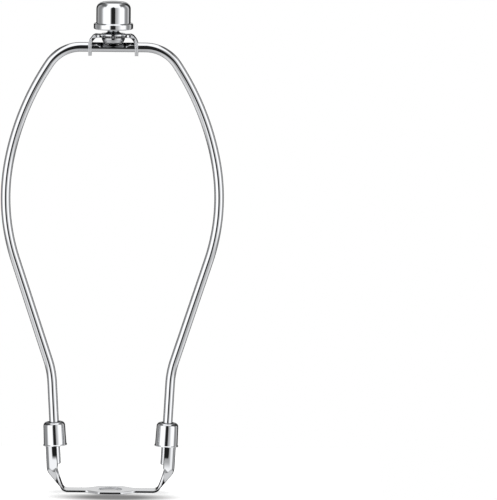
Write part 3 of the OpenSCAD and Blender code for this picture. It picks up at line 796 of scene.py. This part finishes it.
def saddle_sheet(s, b, f):
    """The saddle as one strip. The middle of the sheet follows a path of three
    straight lines joined by two bends. Going up the arm the strip widens and
    its sides roll round the wire: a point at w from the middle line lies on a
    round of the roll's radius for as long as the roll has turned, and beyond
    that on a straight flange. Gives a function of (distance, w, offset from
    the middle of the sheet), the half width, and the marks along the path."""
    half_t = s.sheet / 2
    lean, slope = b.leg_lean, s.arm_slope
    in_ferrule = f.length - f.shoulder - s.end_gap
    top_z = f.foot_height + in_ferrule * np.cos(lean)
    back = ferrule_side(f, in_ferrule) - f.wall - s.back_gap

    def channel_x(z):
        return b.leg_span / 2 + z * np.tan(lean) + (back - half_t) / np.cos(lean)

    base_r, upper_r = s.base_bend - half_t, s.knuckle_bend - half_t
    steep = 0.5 * HALF_TURN - lean
    turn = steep - slope
    knuckle = np.array([channel_x(s.knuckle_height), s.knuckle_height])
    corner = np.array([knuckle[0] - (s.knuckle_height - half_t) / np.tan(slope), half_t])
    base_cut, knuckle_cut = base_r * np.tan(slope / 2), upper_r * np.tan(turn / 2)
    end = np.array([channel_x(top_z), top_z])
    start_x = s.pad_length / 2
    runs = np.cumsum([
        corner[0] - base_cut - start_x,
        base_r * slope,
        np.linalg.norm(knuckle - corner) - base_cut - knuckle_cut,
        upper_r * turn,
        np.linalg.norm(end - knuckle) - knuckle_cut,
    ])
    base_centre = np.array([corner[0] - base_cut, half_t + base_r])
    knuckle_from = corner + (base_cut + runs[2] - runs[1]) * heading(slope)
    knuckle_centre = knuckle_from + upper_r * heading(slope + 0.5 * HALF_TURN)

    def path(d):
        a = np.interp(d, runs[:4], [0.0, slope, slope, steep])
        low = np.stack([start_x + d, half_t + 0 * d], axis=-1)
        arc_1 = base_centre + base_r * np.stack([np.sin(a), -np.cos(a)], axis=-1)
        rise = corner + (base_cut + d - runs[1])[..., None] * heading(slope)
        arc_2 = knuckle_centre + upper_r * np.stack([np.sin(a), -np.cos(a)], axis=-1)
        high = end - (runs[4] - d)[..., None] * heading(steep)
        stretch = np.searchsorted(runs[:4], d, side="right")[..., None]
        return np.choose(stretch, [low, arc_1, rise, arc_2, high]), a

    roll_r = b.wire / 2 + s.side_gap + half_t
    full = roll_r * 0.5 * HALF_TURN + s.flange
    roll_from = runs[0] + 0.6 * (runs[1] - runs[0])
    roll_to = runs[4] - in_ferrule - half_t

    def eased(t):
        return t * t * (3.0 - 2.0 * t)

    def closed(d):
        return np.clip((d - roll_from) / (roll_to - roll_from), 0.0, 1.0)

    def half_width(d):
        x = np.maximum(0.0, start_x + d)
        front, narrow = s.pad_front / 2, s.arm_width / 2
        slant = s.pad_depth / 2 - (s.pad_depth / 2 - narrow) * (x - front) / (start_x - front)
        pad = softer_min(s.pad_depth / 2 + 0 * x, slant, 0.3)
        pad = softer_max(pad, narrow + 0 * x, 0.3)
        blend = np.clip((x - start_x - 1.0) / 2.0, 0.0, 1.0)
        pad = pad * (1 - blend) + narrow * blend
        return pad + (full - narrow) * eased(np.minimum(1.0, 1.7 * closed(d)))

    def hole(d):
        x = start_x + d
        return np.sqrt(np.maximum(0.0, (s.hole / 2) ** 2 - x**2)) * (x < s.hole / 2)

    def surface(d, w, off):
        turned = 0.5 * HALF_TURN * eased(closed(d) ** 0.75)
        a = np.minimum(turned, np.abs(w) / roll_r)
        rest = np.abs(w) - a * roll_r
        side = np.sign(w) * ((roll_r - off) * np.sin(a) + rest * np.cos(a))
        deep = roll_r - (roll_r - off) * np.cos(a) + rest * np.sin(a)
        place, tilt = path(d)
        return np.stack([
            place[..., 0] - deep * np.sin(tilt), side, place[..., 1] + deep * np.cos(tilt)
        ], axis=-1)

    return surface, half_width, hole, runs, start_x


def saddle_patches(s, b, f):
    """The sheet's skin, front and back of the middle line on each side: along
    the upper face to the edge, round the edge, and back along the lower face.
    The hole has a plain wall and the channel a flat end."""
    surface, half_width, hole, runs, start_x = saddle_sheet(s, b, f)
    half_t, soft = s.sheet / 2, 0.18
    hole_r = s.hole / 2
    t = np.linspace(0.0, 0.5 * HALF_TURN, 26)
    d = np.concatenate([
        hole_r * np.sin(t) - start_x,
        spaced((hole_r - start_x, 0), (0.0, 26), (runs[0], 10), (runs[1], 16),
               (runs[2], 18), (runs[3], 16), (runs[4], 40))[1:],
    ])
    inner, outer = hole(d), half_width(d)
    inner[25] = 0.0
    arc = np.linspace(0.0, 0.5 * HALF_TURN, 5)
    patches = []
    for side in (-1.0, 1.0):
        edge_w = np.concatenate([soft * np.sin(arc), soft * np.sin(arc[::-1])]) - soft
        edge_o = np.concatenate([
            half_t - soft + soft * np.cos(arc), -half_t + soft - soft * np.cos(arc[::-1])
        ])
        across = np.linspace(0.0, 1.0, 25)[:-1]
        span = (outer - soft - inner)[:, None]
        top_w = inner[:, None] + span * across
        w = np.concatenate([top_w, outer[:, None] + edge_w, top_w[:, ::-1]], axis=1)
        off = np.concatenate([
            np.full(across.shape, half_t), edge_o, np.full(across.shape, -half_t)
        ])
        rows = surface(d[:, None] + 0 * w, side * w, off[None] + 0 * w)
        patches.append(patch(rows))
        wall = surface(
            np.repeat(d[:26, None], 2, 1), side * np.repeat(inner[:26, None], 2, 1),
            np.array([[half_t, -half_t]]) + np.zeros((26, 1)),
        )
        patches.append(patch(wall))
        w_end, middle = w[-1], w.shape[1] // 2
        upper, lower = rows[-1, :middle], rows[-1, ::-1][:middle]
        patches.append(patch(np.stack([upper, lower])))
    return patches + mirrored(patches)


class OBJECT_OT_saddle(bpy.types.Operator):
    """Makes the stamped saddle with its rolled channels."""

    bl_idname = "lamp_harp.saddle"
    bl_label = "Saddle"

    def execute(self, context):
        scene = context.scene
        sizes = mm(scene.harp_saddle), mm(scene.harp_bow), mm(scene.harp_ferrule)
        sheet = build("Saddle_sheet", saddle_patches(*sizes))
        dress(sheet, pressed(context), "frame", "saddle")
        return {"FINISHED"}


# Ferrules --------------------------------------------------------------------


def ferrule_outline(f, wire_r):
    """Half section of a ferrule, from its foot: a small lip, a slightly
    tapered side, a rounded shoulder and the hole in its closed end."""
    side = ferrule_side(f, f.length - f.shoulder)
    hole = wire_r + f.gap
    return rounded([
        (f.diameter / 2 - f.wall, 0.0, 0.08),
        (f.diameter / 2 + f.lip, 0.0, 0.1),
        (f.diameter / 2 + f.lip, f.lip, 0.1),
        (ferrule_side(f, 2 * f.lip), 2.5 * f.lip, 0.3),
        (side, f.length, f.shoulder),
        (hole, f.length, 0.15),
        (hole, f.length - f.wall, 0.15),
        (side - f.wall, f.length - f.wall, f.shoulder - f.wall),
    ], steps=8)


class OBJECT_OT_ferrules(bpy.types.Operator):
    """Makes the two drawn ferrules, each turned about its own leg."""

    bl_idname = "lamp_harp.ferrules"
    bl_label = "Ferrules"

    def execute(self, context):
        f, b = mm(context.scene.harp_ferrule), mm(context.scene.harp_bow)
        points, quads = revolve(ferrule_outline(f, b.wire / 2))
        c, s = np.cos(b.leg_lean), np.sin(b.leg_lean)
        foot_x = b.leg_span / 2 + f.foot_height * np.tan(b.leg_lean)
        leaned = np.stack([
            points[:, 0] * c + points[:, 2] * s + foot_x,
            points[:, 1],
            -points[:, 0] * s + points[:, 2] * c + f.foot_height,
        ], axis=-1)
        right = [(leaned, quads)]
        for name, patches, body, node in (
            ("Ferrule_right_sleeve", right, "ferrule_r", "ferrule_right"),
            ("Ferrule_left_sleeve", mirrored(right), "ferrule_l", "ferrule_left"),
        ):
            dress(build(name, patches), sleeve(context), body, node)
        return {"FINISHED"}


# Swivel bracket and cup ------------------------------------------------------


def bracket_path(b):
    """The outer face of the right half of the strip: level, the upper bend, a
    short slope, the lower bend, and straight down to the foot of the ear.
    Gives places [x, z] and the angle of the outward normal."""
    top, ear_x = b.seat_height, b.ear_span / 2 + b.sheet / 2
    upper = np.array([b.level, top - b.upper_bend])
    slope_from = upper + b.upper_bend * along(b.slope)
    slope_to = slope_from + 0.8 * np.array([np.cos(b.slope), -np.sin(b.slope)])
    lower_r = (ear_x - slope_to[0]) / (1.0 - np.sin(b.slope))
    lower = np.array([ear_x - lower_r, slope_to[1] - lower_r * np.cos(b.slope)])
    return upper, slope_from, slope_to, lower, lower_r, ear_x


def bracket_patches(b, bow, top):
    """The bent strip: each row across it has its own half width, which is the
    strip's, less the notch at the waist, and in the ear's foot that of a round
    end. Rows that cross a hole start at the hole's edge."""
    upper, slope_from, slope_to, lower, lower_r, ear_x = bracket_path(b)
    axis, half, soft = bow.top_height, b.strip / 2, 0.4
    eye, tail = bow.wire / 2 + b.eye_gap, top.tail / 2
    t = np.linspace(0.0, 0.5 * HALF_TURN, 14)
    level_x = np.concatenate([tail * np.sin(t), spaced((tail, 0), (b.level, 50))[1:]])
    parts = [(np.stack([level_x, 0 * level_x + b.seat_height], axis=-1), 0 * level_x)]
    a = np.linspace(0.0, b.slope, 15)[1:]
    parts.append((upper + b.upper_bend * along(a), a))
    a = np.linspace(b.slope, 0.5 * HALF_TURN, 33)
    parts.append((lower + lower_r * along(a), a))
    t = np.linspace(0.0, HALF_TURN, 33)
    foot = np.linspace(np.arcsin(eye / half), 0.5 * HALF_TURN, 14)[1:]
    z = np.concatenate([axis + eye * np.cos(t), axis - half * np.sin(foot)])
    z = np.concatenate([[lower[1] - 1e-3], z[z < lower[1] - 0.02]])
    parts.append((np.stack([0 * z + ear_x, z], axis=-1), 0 * z + 0.5 * HALF_TURN))
    place = np.concatenate([p for p, _ in parts])
    normal = along(np.concatenate([a for _, a in parts]))

    notch_y = b.waist / 2 + b.notch
    notch_x = (
        np.sqrt((b.seat / 2) ** 2 - half**2)
        + np.sqrt(b.notch**2 - (notch_y - half) ** 2) - b.notch / 14
    )

    def edges(x, z):
        """Inner and outer edge of the strip at a place on one of its faces."""
        in_notch = np.maximum(0.0, b.notch**2 - (x - notch_x) ** 2)
        wide = np.where(x < ear_x - b.sheet - 0.5, notch_y - np.sqrt(in_notch), half)
        wide = np.where(in_notch > 0.0, np.minimum(half, wide), half)
        drop = np.clip((axis + 3.0 - z) / (half + 3.0), 0.0, 1.0) * (x > ear_x - b.sheet - 0.5)
        outer = wide * np.sqrt(1.0 - drop**2)
        near_eye = (np.abs(z - axis) < eye) & (x > b.level)
        eye_w = np.sqrt(np.maximum(0.0, eye**2 - (z - axis) ** 2)) * near_eye
        tail_w = np.sqrt(np.maximum(0.0, tail**2 - x**2))
        return np.maximum(eye_w, tail_w), outer

    arc = np.linspace(0.0, 0.5 * HALF_TURN, 8)
    across = np.linspace(0.0, 1.0, 13)[:-1]
    sunk = np.concatenate([
        0 * across,
        soft - soft * np.cos(arc),
        b.sheet - soft + soft * np.cos(arc[::-1]),
        b.sheet + 0 * across,
    ])
    pulled = np.concatenate([0 * across, soft * np.sin(arc), soft * np.sin(arc[::-1]), 0 * across])
    pulled = pulled - soft
    level = place[:, None, :] - sunk[None, :, None] * normal[:, None, :]
    inner, outer = edges(level[..., 0], level[..., 1])
    at_edge = np.concatenate([across, np.ones(16), across[::-1]])
    reach = np.maximum(inner, outer + pulled)
    w = np.where(at_edge == 1.0, reach, inner + (np.maximum(inner, outer - soft) - inner) * at_edge)
    patches = []
    for side in (-1.0, 1.0):
        rows = np.stack([level[..., 0], side * w, level[..., 1]], axis=-1)
        patches.append(patch(rows))
        patches.append(patch(rows[:, [0, -1]]))
    return patches + mirrored(patches)


def seat_patch(b, top):
    """The round seat: a disc whose rim is a plain band above a row of
    serrations, each a straight-sided tooth."""
    around = 12 * b.teeth
    a = np.linspace(0.0, 2.0 * HALF_TURN, around, endpoint=False)
    tooth = np.abs(((a * b.teeth / (2.0 * HALF_TURN)) % 1.0) * 2.0 - 1.0)
    high, low = b.seat_height + 0.01, b.seat_height - b.sheet - 0.01
    rim, step = b.seat / 2, b.seat_height - b.band
    cut = b.tooth * np.clip(1.3 * tooth - 0.15, 0.0, 1.0)
    rows = [
        (top.tail / 2, low, 0.0), (rim - 0.5, low, 0.0), (rim - 0.16, low, 1.0),
        (rim - 0.04, low + 0.12, 1.0), (rim - 0.04, step - 0.05, 1.0),
        (rim - 0.04, step, 0.6), (rim, step + 0.04, 0.0), (rim, high - 0.15, 0.0),
        (rim - 0.04, high - 0.05, 0.0), (rim - 0.14, high, 0.0), (rim - 0.5, high, 0.0),
        (top.tail / 2, high, 0.0),
    ]
    r = np.array([[row[0]] for row in rows]) - np.array([[row[2]] for row in rows]) * cut
    z = np.array([[row[1]] for row in rows]) + 0.0 * a
    points = np.stack([r * np.cos(a), r * np.sin(a), z], axis=-1)
    return patch(points, wrap_rows=True, wrap_columns=True)


class OBJECT_OT_swivel_bracket(bpy.types.Operator):
    """Makes the bent bracket with its serrated seat."""

    bl_idname = "lamp_harp.swivel_bracket"
    bl_label = "Swivel bracket"

    def execute(self, context):
        scene = context.scene
        b, bow, top = mm(scene.harp_bracket), mm(scene.harp_bow), mm(scene.harp_top)
        strip = build("Swivel_bracket_strip", bracket_patches(b, bow, top) + [seat_patch(b, top)])
        dress(strip, shaded_bracket(context), "swivel", "swivel_bracket")
        return {"FINISHED"}


def cup_outer(b, top):
    """The cup's outer outline from its flat bottom up: a slope, the lower
    side, which opens, and the upright side under the rim."""
    flat = top.tip / 2 + 0.8 * b.cup_wall
    knee = b.cup_waist / 2 - 0.15
    return np.array([
        [flat, 0.0], [knee, b.cup_slope + 0.1], [b.cup / 2, b.cup_slope + 1.4],
        [b.cup / 2, b.cup_side + b.cup_slope],
    ])


class OBJECT_OT_rivet_cup(bpy.types.Operator):
    """Makes the bowl that is riveted under the bracket."""

    bl_idname = "lamp_harp.rivet_cup"
    bl_label = "Rivet cup"

    def execute(self, context):
        b, top = mm(context.scene.harp_bracket), mm(context.scene.harp_top)
        (flat, _), (knee, knee_z), (edge, side_z), (_, rim) = cup_outer(b, top)
        low, wall = b.seat_height - b.sheet - rim, b.cup_wall
        outline = rounded([
            (top.tip / 2, 0.0, 0.0),
            (flat, 0.0, 0.3),
            (knee, knee_z, 0.5),
            (edge, side_z, 1.2),
            (edge, rim, 0.1),
            (edge - wall, rim, 0.1),
            (edge - wall, side_z + 0.2 * wall, 0.8),
            (knee - wall, knee_z + 0.4 * wall, 0.3),
            (flat + 0.2 * wall, wall, 0.2),
            (top.tip / 2, wall, 0.0),
        ])
        cup = build("Rivet_cup_bowl", [revolve(outline + np.array([0.0, low]))])
        dress(cup, shaded_cup(context), "swivel", "rivet_cup")
        return {"FINISHED"}


# Stud and finial -------------------------------------------------------------


def stud_patches(top, b):
    """The stud as one turned surface: the distance from the axis at height z
    is the plain outline's, less the depth of a screw thread whose flanks rise
    and fall with z over the pitch minus the angle over a full turn, and which
    fades at both ends of the thread."""
    seat, relief, major = b.seat_height, top.relief / 2, top.thread / 2
    flare = b.seat / 2 - top.flare_edge
    t = np.linspace(0.0, 0.5 * HALF_TURN, 17)
    thread_low = top.flare_height + top.relief_height
    thread_high = top.lift + top.bore_depth - 0.3
    chamfer = major - relief
    cup_low = -(b.sheet + b.cup_side + b.cup_slope)
    rows = np.concatenate([
        [[0.0, cup_low], [top.tip / 2 - 0.1, cup_low], [top.tip / 2, cup_low + 0.1],
         [top.tip / 2, cup_low + b.cup_wall], [top.tail / 2, cup_low + b.cup_wall],
         [top.tail / 2, 0.01], [flare - 0.05, 0.01], [flare, 0.06]],
        np.stack([
            flare - (flare - relief) * np.sin(t),
            top.flare_edge + (top.flare_height - top.flare_edge) * (1.0 - np.cos(t)),
        ], axis=-1),
        [[relief, thread_low - chamfer]],
        np.stack([np.full(220, major), np.linspace(thread_low, thread_high - chamfer, 220)], -1),
        [[relief, thread_high], [0.0, thread_high]],
    ])
    a = np.linspace(0.0, 2.0 * HALF_TURN, 96, endpoint=False)
    z = rows[:, 1][:, None] + 0.0 * a
    flank = np.abs(((z / top.pitch - a / (2.0 * HALF_TURN)) % 1.0) * 2.0 - 1.0)
    flank = np.clip(1.25 * flank - 0.12, 0.0, 1.0)
    in_thread = np.clip(
        np.minimum(z - thread_low, thread_high - chamfer - z) / 0.4 + 0.25, 0.0, 1.0
    ) * (rows[:, 0][:, None] == major)
    r = rows[:, 0][:, None] - 0.5 * flank * in_thread
    points = np.stack([r * np.cos(a), r * np.sin(a), z + seat], axis=-1)
    return [patch(points, wrap_columns=True)]


class OBJECT_OT_threaded_stud(bpy.types.Operator):
    """Makes the stud with its flare, relief and thread."""

    bl_idname = "lamp_harp.threaded_stud"
    bl_label = "Threaded stud"

    def execute(self, context):
        top, b = mm(context.scene.harp_top), mm(context.scene.harp_bracket)
        stud = build("Threaded_stud_screw", stud_patches(top, b))
        dress(stud, dull(context), "swivel", "threaded_stud")
        return {"FINISHED"}


def finial_outline(top):
    """Half section of the finial: threaded hole, flange with rounded edges,
    fillet, straight body, a quarter ellipse at the crown and a low dome."""
    body, flange = top.body / 2, top.flange / 2
    bore = top.thread / 2 + top.bore_gap
    t = np.linspace(0.0, 0.5 * HALF_TURN, 15)
    crown_z = top.height - top.dome - top.crown_height
    crown_x = body - top.crown_width
    corner = flange - top.edge
    x = np.linspace(1.0, 0.0, 19)[1:] * crown_x
    return np.concatenate([
        [[0.0, top.bore_depth], [bore, top.bore_depth], [bore, 0.5], [bore + 0.5, 0.0]],
        np.stack([corner + top.edge * np.sin(t), top.edge * (1.0 - np.cos(t))], -1),
        np.stack([corner + top.edge * np.cos(t),
                  top.flange_height - top.edge * (1.0 - np.sin(t))], -1),
        np.stack([body + top.fillet * (1.0 - np.sin(t)),
                  top.flange_height + top.fillet * (1.0 - np.cos(t))], -1),
        np.linspace([body, top.flange_height + top.fillet + 0.3], [body, crown_z - 0.3], 8),
        np.stack([crown_x + top.crown_width * np.cos(t),
                  crown_z + top.crown_height * np.sin(t)], -1),
        np.stack([x, top.height - top.dome * (x / crown_x) ** 2], -1),
    ])


class OBJECT_OT_finial(bpy.types.Operator):
    """Makes the turned finial."""

    bl_idname = "lamp_harp.finial"
    bl_label = "Finial"

    def execute(self, context):
        top, b = mm(context.scene.harp_top), mm(context.scene.harp_bracket)
        outline = finial_outline(top) + np.array([0.0, b.seat_height + top.lift])
        cap = build("Finial_cap", [revolve(outline, around=160, closed=False)])
        dress(cap, hollow(context), "cap", "finial")
        return {"FINISHED"}


# Studio ----------------------------------------------------------------------


# Upright panels of the tent: from and to in degrees of azimuth, how softly
# each edge fades, and the strength
PANELS = (
    (-64.0, -25.0, 26.0, 14.0, 1.0),
    (-112.0, -85.0, 10.0, 8.0, 0.22),
    (-128.0, -120.0, 14.0, 8.0, 0.30),
    (17.0, 80.0, 6.0, 12.0, 0.40),
    (54.0, 72.0, 34.0, 14.0, 0.60),
    (90.0, 110.0, 8.0, 8.0, 0.23),
    (116.0, 124.0, 8.0, 10.0, 0.47),
)


def panel_group():
    """Node group of one upright light panel, as seen in a direction: full
    between its two edges, and fading over a softness beyond each."""
    known = bpy.data.node_groups.get("Light panel")
    if known:
        return known
    tree = bpy.data.node_groups.new("Light panel", "ShaderNodeTree")
    for name in ("Azimuth", "From", "To", "Soft From", "Soft To", "Strength"):
        tree.interface.new_socket(name=name, in_out="INPUT", socket_type="NodeSocketFloat")
    tree.interface.new_socket(name="Value", in_out="OUTPUT", socket_type="NodeSocketFloat")
    given = tree.nodes.new("NodeGroupInput").outputs
    sides = []
    for edge, soft, sign in (("From", "Soft From", -1.0), ("To", "Soft To", 1.0)):
        past = maths(tree, "MULTIPLY", maths(tree, "SUBTRACT", given["Azimuth"], given[edge]), sign)
        sides.append(eased(tree, maths(tree, "DIVIDE", past, given[soft]), 0.0, 1.0, 1.0, 0.0))
    level = maths(tree, "MULTIPLY", *sides)
    value = maths(tree, "MULTIPLY", level, given["Strength"])
    add_node(tree, "NodeGroupOutput", {"Value": value})
    return tree


def light_tent(scene):
    """The world: white to the camera, a tent of soft panels to polished
    surfaces, and an even pale light to everything else. Azimuth is counted
    from the camera's side of the object, positive towards +X."""
    world = bpy.data.worlds.new("Light tent")
    world.use_nodes = True
    scene.world = world
    tree = world.node_tree
    tree.nodes.clear()

    way = add_node(tree, "ShaderNodeTexCoord").outputs["Generated"]
    parts = add_node(tree, "ShaderNodeSeparateXYZ", {"Vector": way}).outputs
    front = maths(tree, "MULTIPLY", parts["Y"], -1.0)
    azimuth = maths(tree, "DEGREES", maths(tree, "ARCTAN2", parts["X"], front))
    elevation = maths(tree, "DEGREES", maths(tree, "ARCSINE", parts["Z"]))
    sideways = maths(tree, "ABSOLUTE", parts["X"])

    total = 0.015
    for values in PANELS:
        panel = add_node(tree, "ShaderNodeGroup", {}, node_tree=panel_group())
        tree.links.new(azimuth, panel.inputs["Azimuth"])
        for socket, value in zip(("From", "To", "Soft From", "Soft To", "Strength"), values):
            panel.inputs[socket].default_value = value
        total = maths(tree, "ADD", total, panel.outputs["Value"])

    sunk = eased(tree, elevation, -26.0, -12.0, 0.2, 1.0)
    total = maths(tree, "MULTIPLY", total, sunk)
    behind = maths(
        tree, "MULTIPLY", eased(tree, maths(tree, "ABSOLUTE", azimuth), 156.0, 168.0, 0.0, 0.62),
        eased(tree, elevation, 4.5, 8.5, 0.0, 1.0),
    )
    low = eased(tree, elevation, 10.5, 15.0, 1.0, 0.25)
    total = maths(tree, "ADD", total, maths(tree, "MULTIPLY", behind, low))

    lean = maths(tree, "MINIMUM", maths(tree, "ABSOLUTE", azimuth), 14.0)
    edge = maths(tree, "ADD", elevation, lean)
    raised = eased(tree, edge, 45.0, 60.0, 0.0, 1.0)
    facing = maths(tree, "MAXIMUM", maths(tree, "ADD", front, 0.2), 0.0)
    sideways = maths(tree, "MULTIPLY_ADD", facing, -0.6, sideways)
    box = maths(
        tree, "MULTIPLY", eased(tree, sideways, 0.24, 0.42, 1.0, 0.0),
        eased(tree, front, -0.75, -0.45, 0.0, 1.0),
    )
    rim = eased(tree, front, -0.15, 0.25, 0.12, 0.25)
    overhead = maths(tree, "MAXIMUM", box, rim)
    around = maths(tree, "ABSOLUTE", azimuth)
    side = maths(tree, "MINIMUM", around, 60.0)
    side = maths(tree, "MINIMUM", side, maths(tree, "MULTIPLY_ADD", around, -1.0, 180.0))
    deep = maths(tree, "MULTIPLY_ADD", side, -0.27, elevation)
    below = eased(tree, deep, -42.0, -34.0, 1.0, 0.0)
    slant = maths(tree, "MULTIPLY", side, eased(tree, elevation, -75.0, -50.0, 0.0, 0.004))
    ground = maths(tree, "ADD", slant, 0.42)
    tent = mixed(tree, mixed(tree, total, overhead, raised), ground, below)
    tent = maths(tree, "MULTIPLY", tent, 1.3)

    path = add_node(tree, "ShaderNodeLightPath").outputs
    shiny = maths(tree, "MAXIMUM", path["Is Glossy Ray"], path["Is Transmission Ray"])
    strength = mixed(tree, mixed(tree, 0.35, tent, shiny), 1.0, path["Is Camera Ray"])
    light = add_node(
        tree, "ShaderNodeBackground", {"Color": (1.0, 1.0, 1.0, 1.0), "Strength": strength}
    )
    add_node(tree, "ShaderNodeOutputWorld", {"Surface": light.outputs["Background"]})


def paper_material(tone):
    """White paper: matt, with a fine fibre, a soft shade round the foot of the
    object, and to the camera a lift of its own, so that it runs into the
    white background."""
    material = bpy.data.materials.new("White paper")
    material.use_nodes = True
    tree = material.node_tree
    tree.nodes.clear()
    place = add_node(tree, "ShaderNodeTexCoord").outputs["Object"]
    fibre = add_node(
        tree, "ShaderNodeTexNoise", {"Vector": place, "Scale": 1500.0, "Detail": 3.0}
    ).outputs["Fac"]
    shift = add_node(
        tree, "ShaderNodeMapping",
        {"Vector": place, "Location": (-0.06, 1.12, 0.0), "Scale": (29.0, 79.0, 1.0)},
    ).outputs["Vector"]
    away = add_node(
        tree, "ShaderNodeVectorMath", {0: shift}, operation="LENGTH"
    ).outputs["Value"]
    shade = add_node(
        tree, "ShaderNodeMapRange",
        {"Value": away, "From Min": 0.25, "From Max": 1.08, "To Min": 0.2, "To Max": 1.0},
        interpolation_type="SMOOTHSTEP",
    ).outputs["Result"]
    under = add_node(
        tree, "ShaderNodeMapping", {"Vector": place, "Scale": (100.0, 115.0, 1.0)}
    ).outputs["Vector"]
    near = add_node(
        tree, "ShaderNodeVectorMath", {0: under}, operation="LENGTH"
    ).outputs["Value"]
    shade = maths(tree, "MULTIPLY", shade, eased(tree, near, 0.6, 1.0, 0.5, 1.0))
    shaded = add_node(
        tree, "ShaderNodeVectorMath", {0: (*tone,), 1: shade}, operation="MULTIPLY"
    ).outputs["Vector"]
    bump = add_node(
        tree, "ShaderNodeBump", {"Height": fibre, "Strength": 0.1, "Distance": 0.00005}
    )
    path = add_node(tree, "ShaderNodeLightPath").outputs
    lift = add_node(
        tree, "ShaderNodeMath", {0: path["Is Camera Ray"], 1: 0.75}, operation="MULTIPLY"
    ).outputs["Value"]
    shader = add_node(
        tree, "ShaderNodeBsdfPrincipled",
        {
            "Base Color": shaded, "Roughness": 0.9, "Specular IOR Level": 0.0,
            "Normal": bump.outputs["Normal"], "Emission Color": shaded,
            "Emission Strength": lift,
        },
    )
    add_node(tree, "ShaderNodeOutputMaterial", {"Surface": shader.outputs["BSDF"]})
    return material


class OBJECT_OT_studio(bpy.types.Operator):
    """Makes the paper floor, the light and the camera."""

    bl_idname = "lamp_harp.studio"
    bl_label = "Studio"

    def execute(self, context):
        scene, s = context.scene, context.scene.harp_studio
        x, front, back = s.floor_side, -s.floor_front, s.floor_back
        mesh = bpy.data.meshes.new("Paper_floor")
        z = -0.0002
        mesh.from_pydata([(-x, front, z), (x, front, z), (x, back, z), (-x, back, z)], [], [(0, 1, 2, 3)])
        floor = bpy.data.objects.new("Paper_floor", mesh)
        floor.data.materials.append(paper_material(tuple(s.paper)))
        scene.collection.objects.link(floor)
        floor.visible_glossy = False

        lamp = bpy.data.lights.new("Overhead_lamp", "AREA")
        lamp.shape, lamp.size, lamp.energy = "DISK", 0.9, 7.0
        overhead = bpy.data.objects.new("Overhead_lamp", lamp)
        overhead.location = (0.05, 0.15, 1.2)
        overhead.rotation_euler = (-0.12, 0.04, 0.0)
        overhead.visible_glossy = False
        overhead.visible_camera = False
        scene.collection.objects.link(overhead)
        light_tent(scene)

        camera = bpy.data.cameras.new("Camera")
        camera.sensor_fit, camera.sensor_width, camera.lens = "HORIZONTAL", 36.0, s.lens
        camera.clip_start, camera.clip_end = 0.1, 20.0
        c, t = np.cos(s.pitch), np.sin(s.pitch)
        right, up, back = np.array([1.0, 0, 0]), np.array([0, t, c]), np.array([0, -c, t])
        turned = np.cos(s.roll) * right + np.sin(s.roll) * up
        raised = np.cos(s.roll) * up - np.sin(s.roll) * right
        eye = np.array([s.aim_x, 0.0, s.aim_z]) + s.distance * back
        viewer = bpy.data.objects.new("Camera", camera)
        columns = np.stack([turned, raised, back, eye], axis=1)
        viewer.matrix_world = Matrix(np.vstack([columns, [0, 0, 0, 1]]).tolist())
        scene.collection.objects.link(viewer)
        scene.camera = viewer
        scene.view_settings.view_transform = "Standard"
        return {"FINISHED"}


# Panel and registration ------------------------------------------------------

GROUPS = (
    ("harp_bow", BowSizes, "Bow wire"),
    ("harp_saddle", SaddleSizes, "Saddle"),
    ("harp_ferrule", FerruleSizes, "Ferrules"),
    ("harp_bracket", BracketSizes, "Swivel bracket"),
    ("harp_top", TopSizes, "Stud and finial"),
    ("harp_finishes", Finishes, "Finishes"),
    ("harp_studio", Studio, "Studio"),
)
OPERATORS = (
    OBJECT_OT_bow_wire,
    OBJECT_OT_saddle,
    OBJECT_OT_ferrules,
    OBJECT_OT_swivel_bracket,
    OBJECT_OT_rivet_cup,
    OBJECT_OT_threaded_stud,
    OBJECT_OT_finial,
    OBJECT_OT_studio,
)


class VIEW3D_PT_lamp_harp(bpy.types.Panel):
    """Lists the operators and the sizes."""

    bl_idname = "VIEW3D_PT_lamp_harp"
    bl_label = "Lamp harp"
    bl_space_type = "VIEW_3D"
    bl_region_type = "UI"
    bl_category = "Lamp harp"

    def draw(self, context):
        layout = self.layout
        for operator in OPERATORS:
            layout.operator(operator.bl_idname)
        for attribute, group, title in GROUPS:
            box = layout.box()
            box.label(text=title)
            values = getattr(context.scene, attribute)
            for key in group.__annotations__:
                box.prop(values, key)


def register():
    for _, group, _ in GROUPS:
        bpy.utils.register_class(group)
    for operator in OPERATORS:
        bpy.utils.register_class(operator)
    bpy.utils.register_class(VIEW3D_PT_lamp_harp)
    for attribute, group, _ in GROUPS:
        setattr(bpy.types.Scene, attribute, PointerProperty(type=group))


def unregister():
    for attribute, _, _ in GROUPS:
        delattr(bpy.types.Scene, attribute)
    bpy.utils.unregister_class(VIEW3D_PT_lamp_harp)
    for operator in reversed(OPERATORS):
        bpy.utils.unregister_class(operator)
    for _, group, _ in reversed(GROUPS):
        bpy.utils.unregister_class(group)


def main():
    """Makes all the pieces and the studio."""
    register()
    make = bpy.ops.lamp_harp
    make.studio()
    make.bow_wire()
    make.saddle()
    make.ferrules()
    make.swivel_bracket()
    make.rivet_cup()
    make.threaded_stud()
    make.finial()


if __name__ == "__main__":
    main()
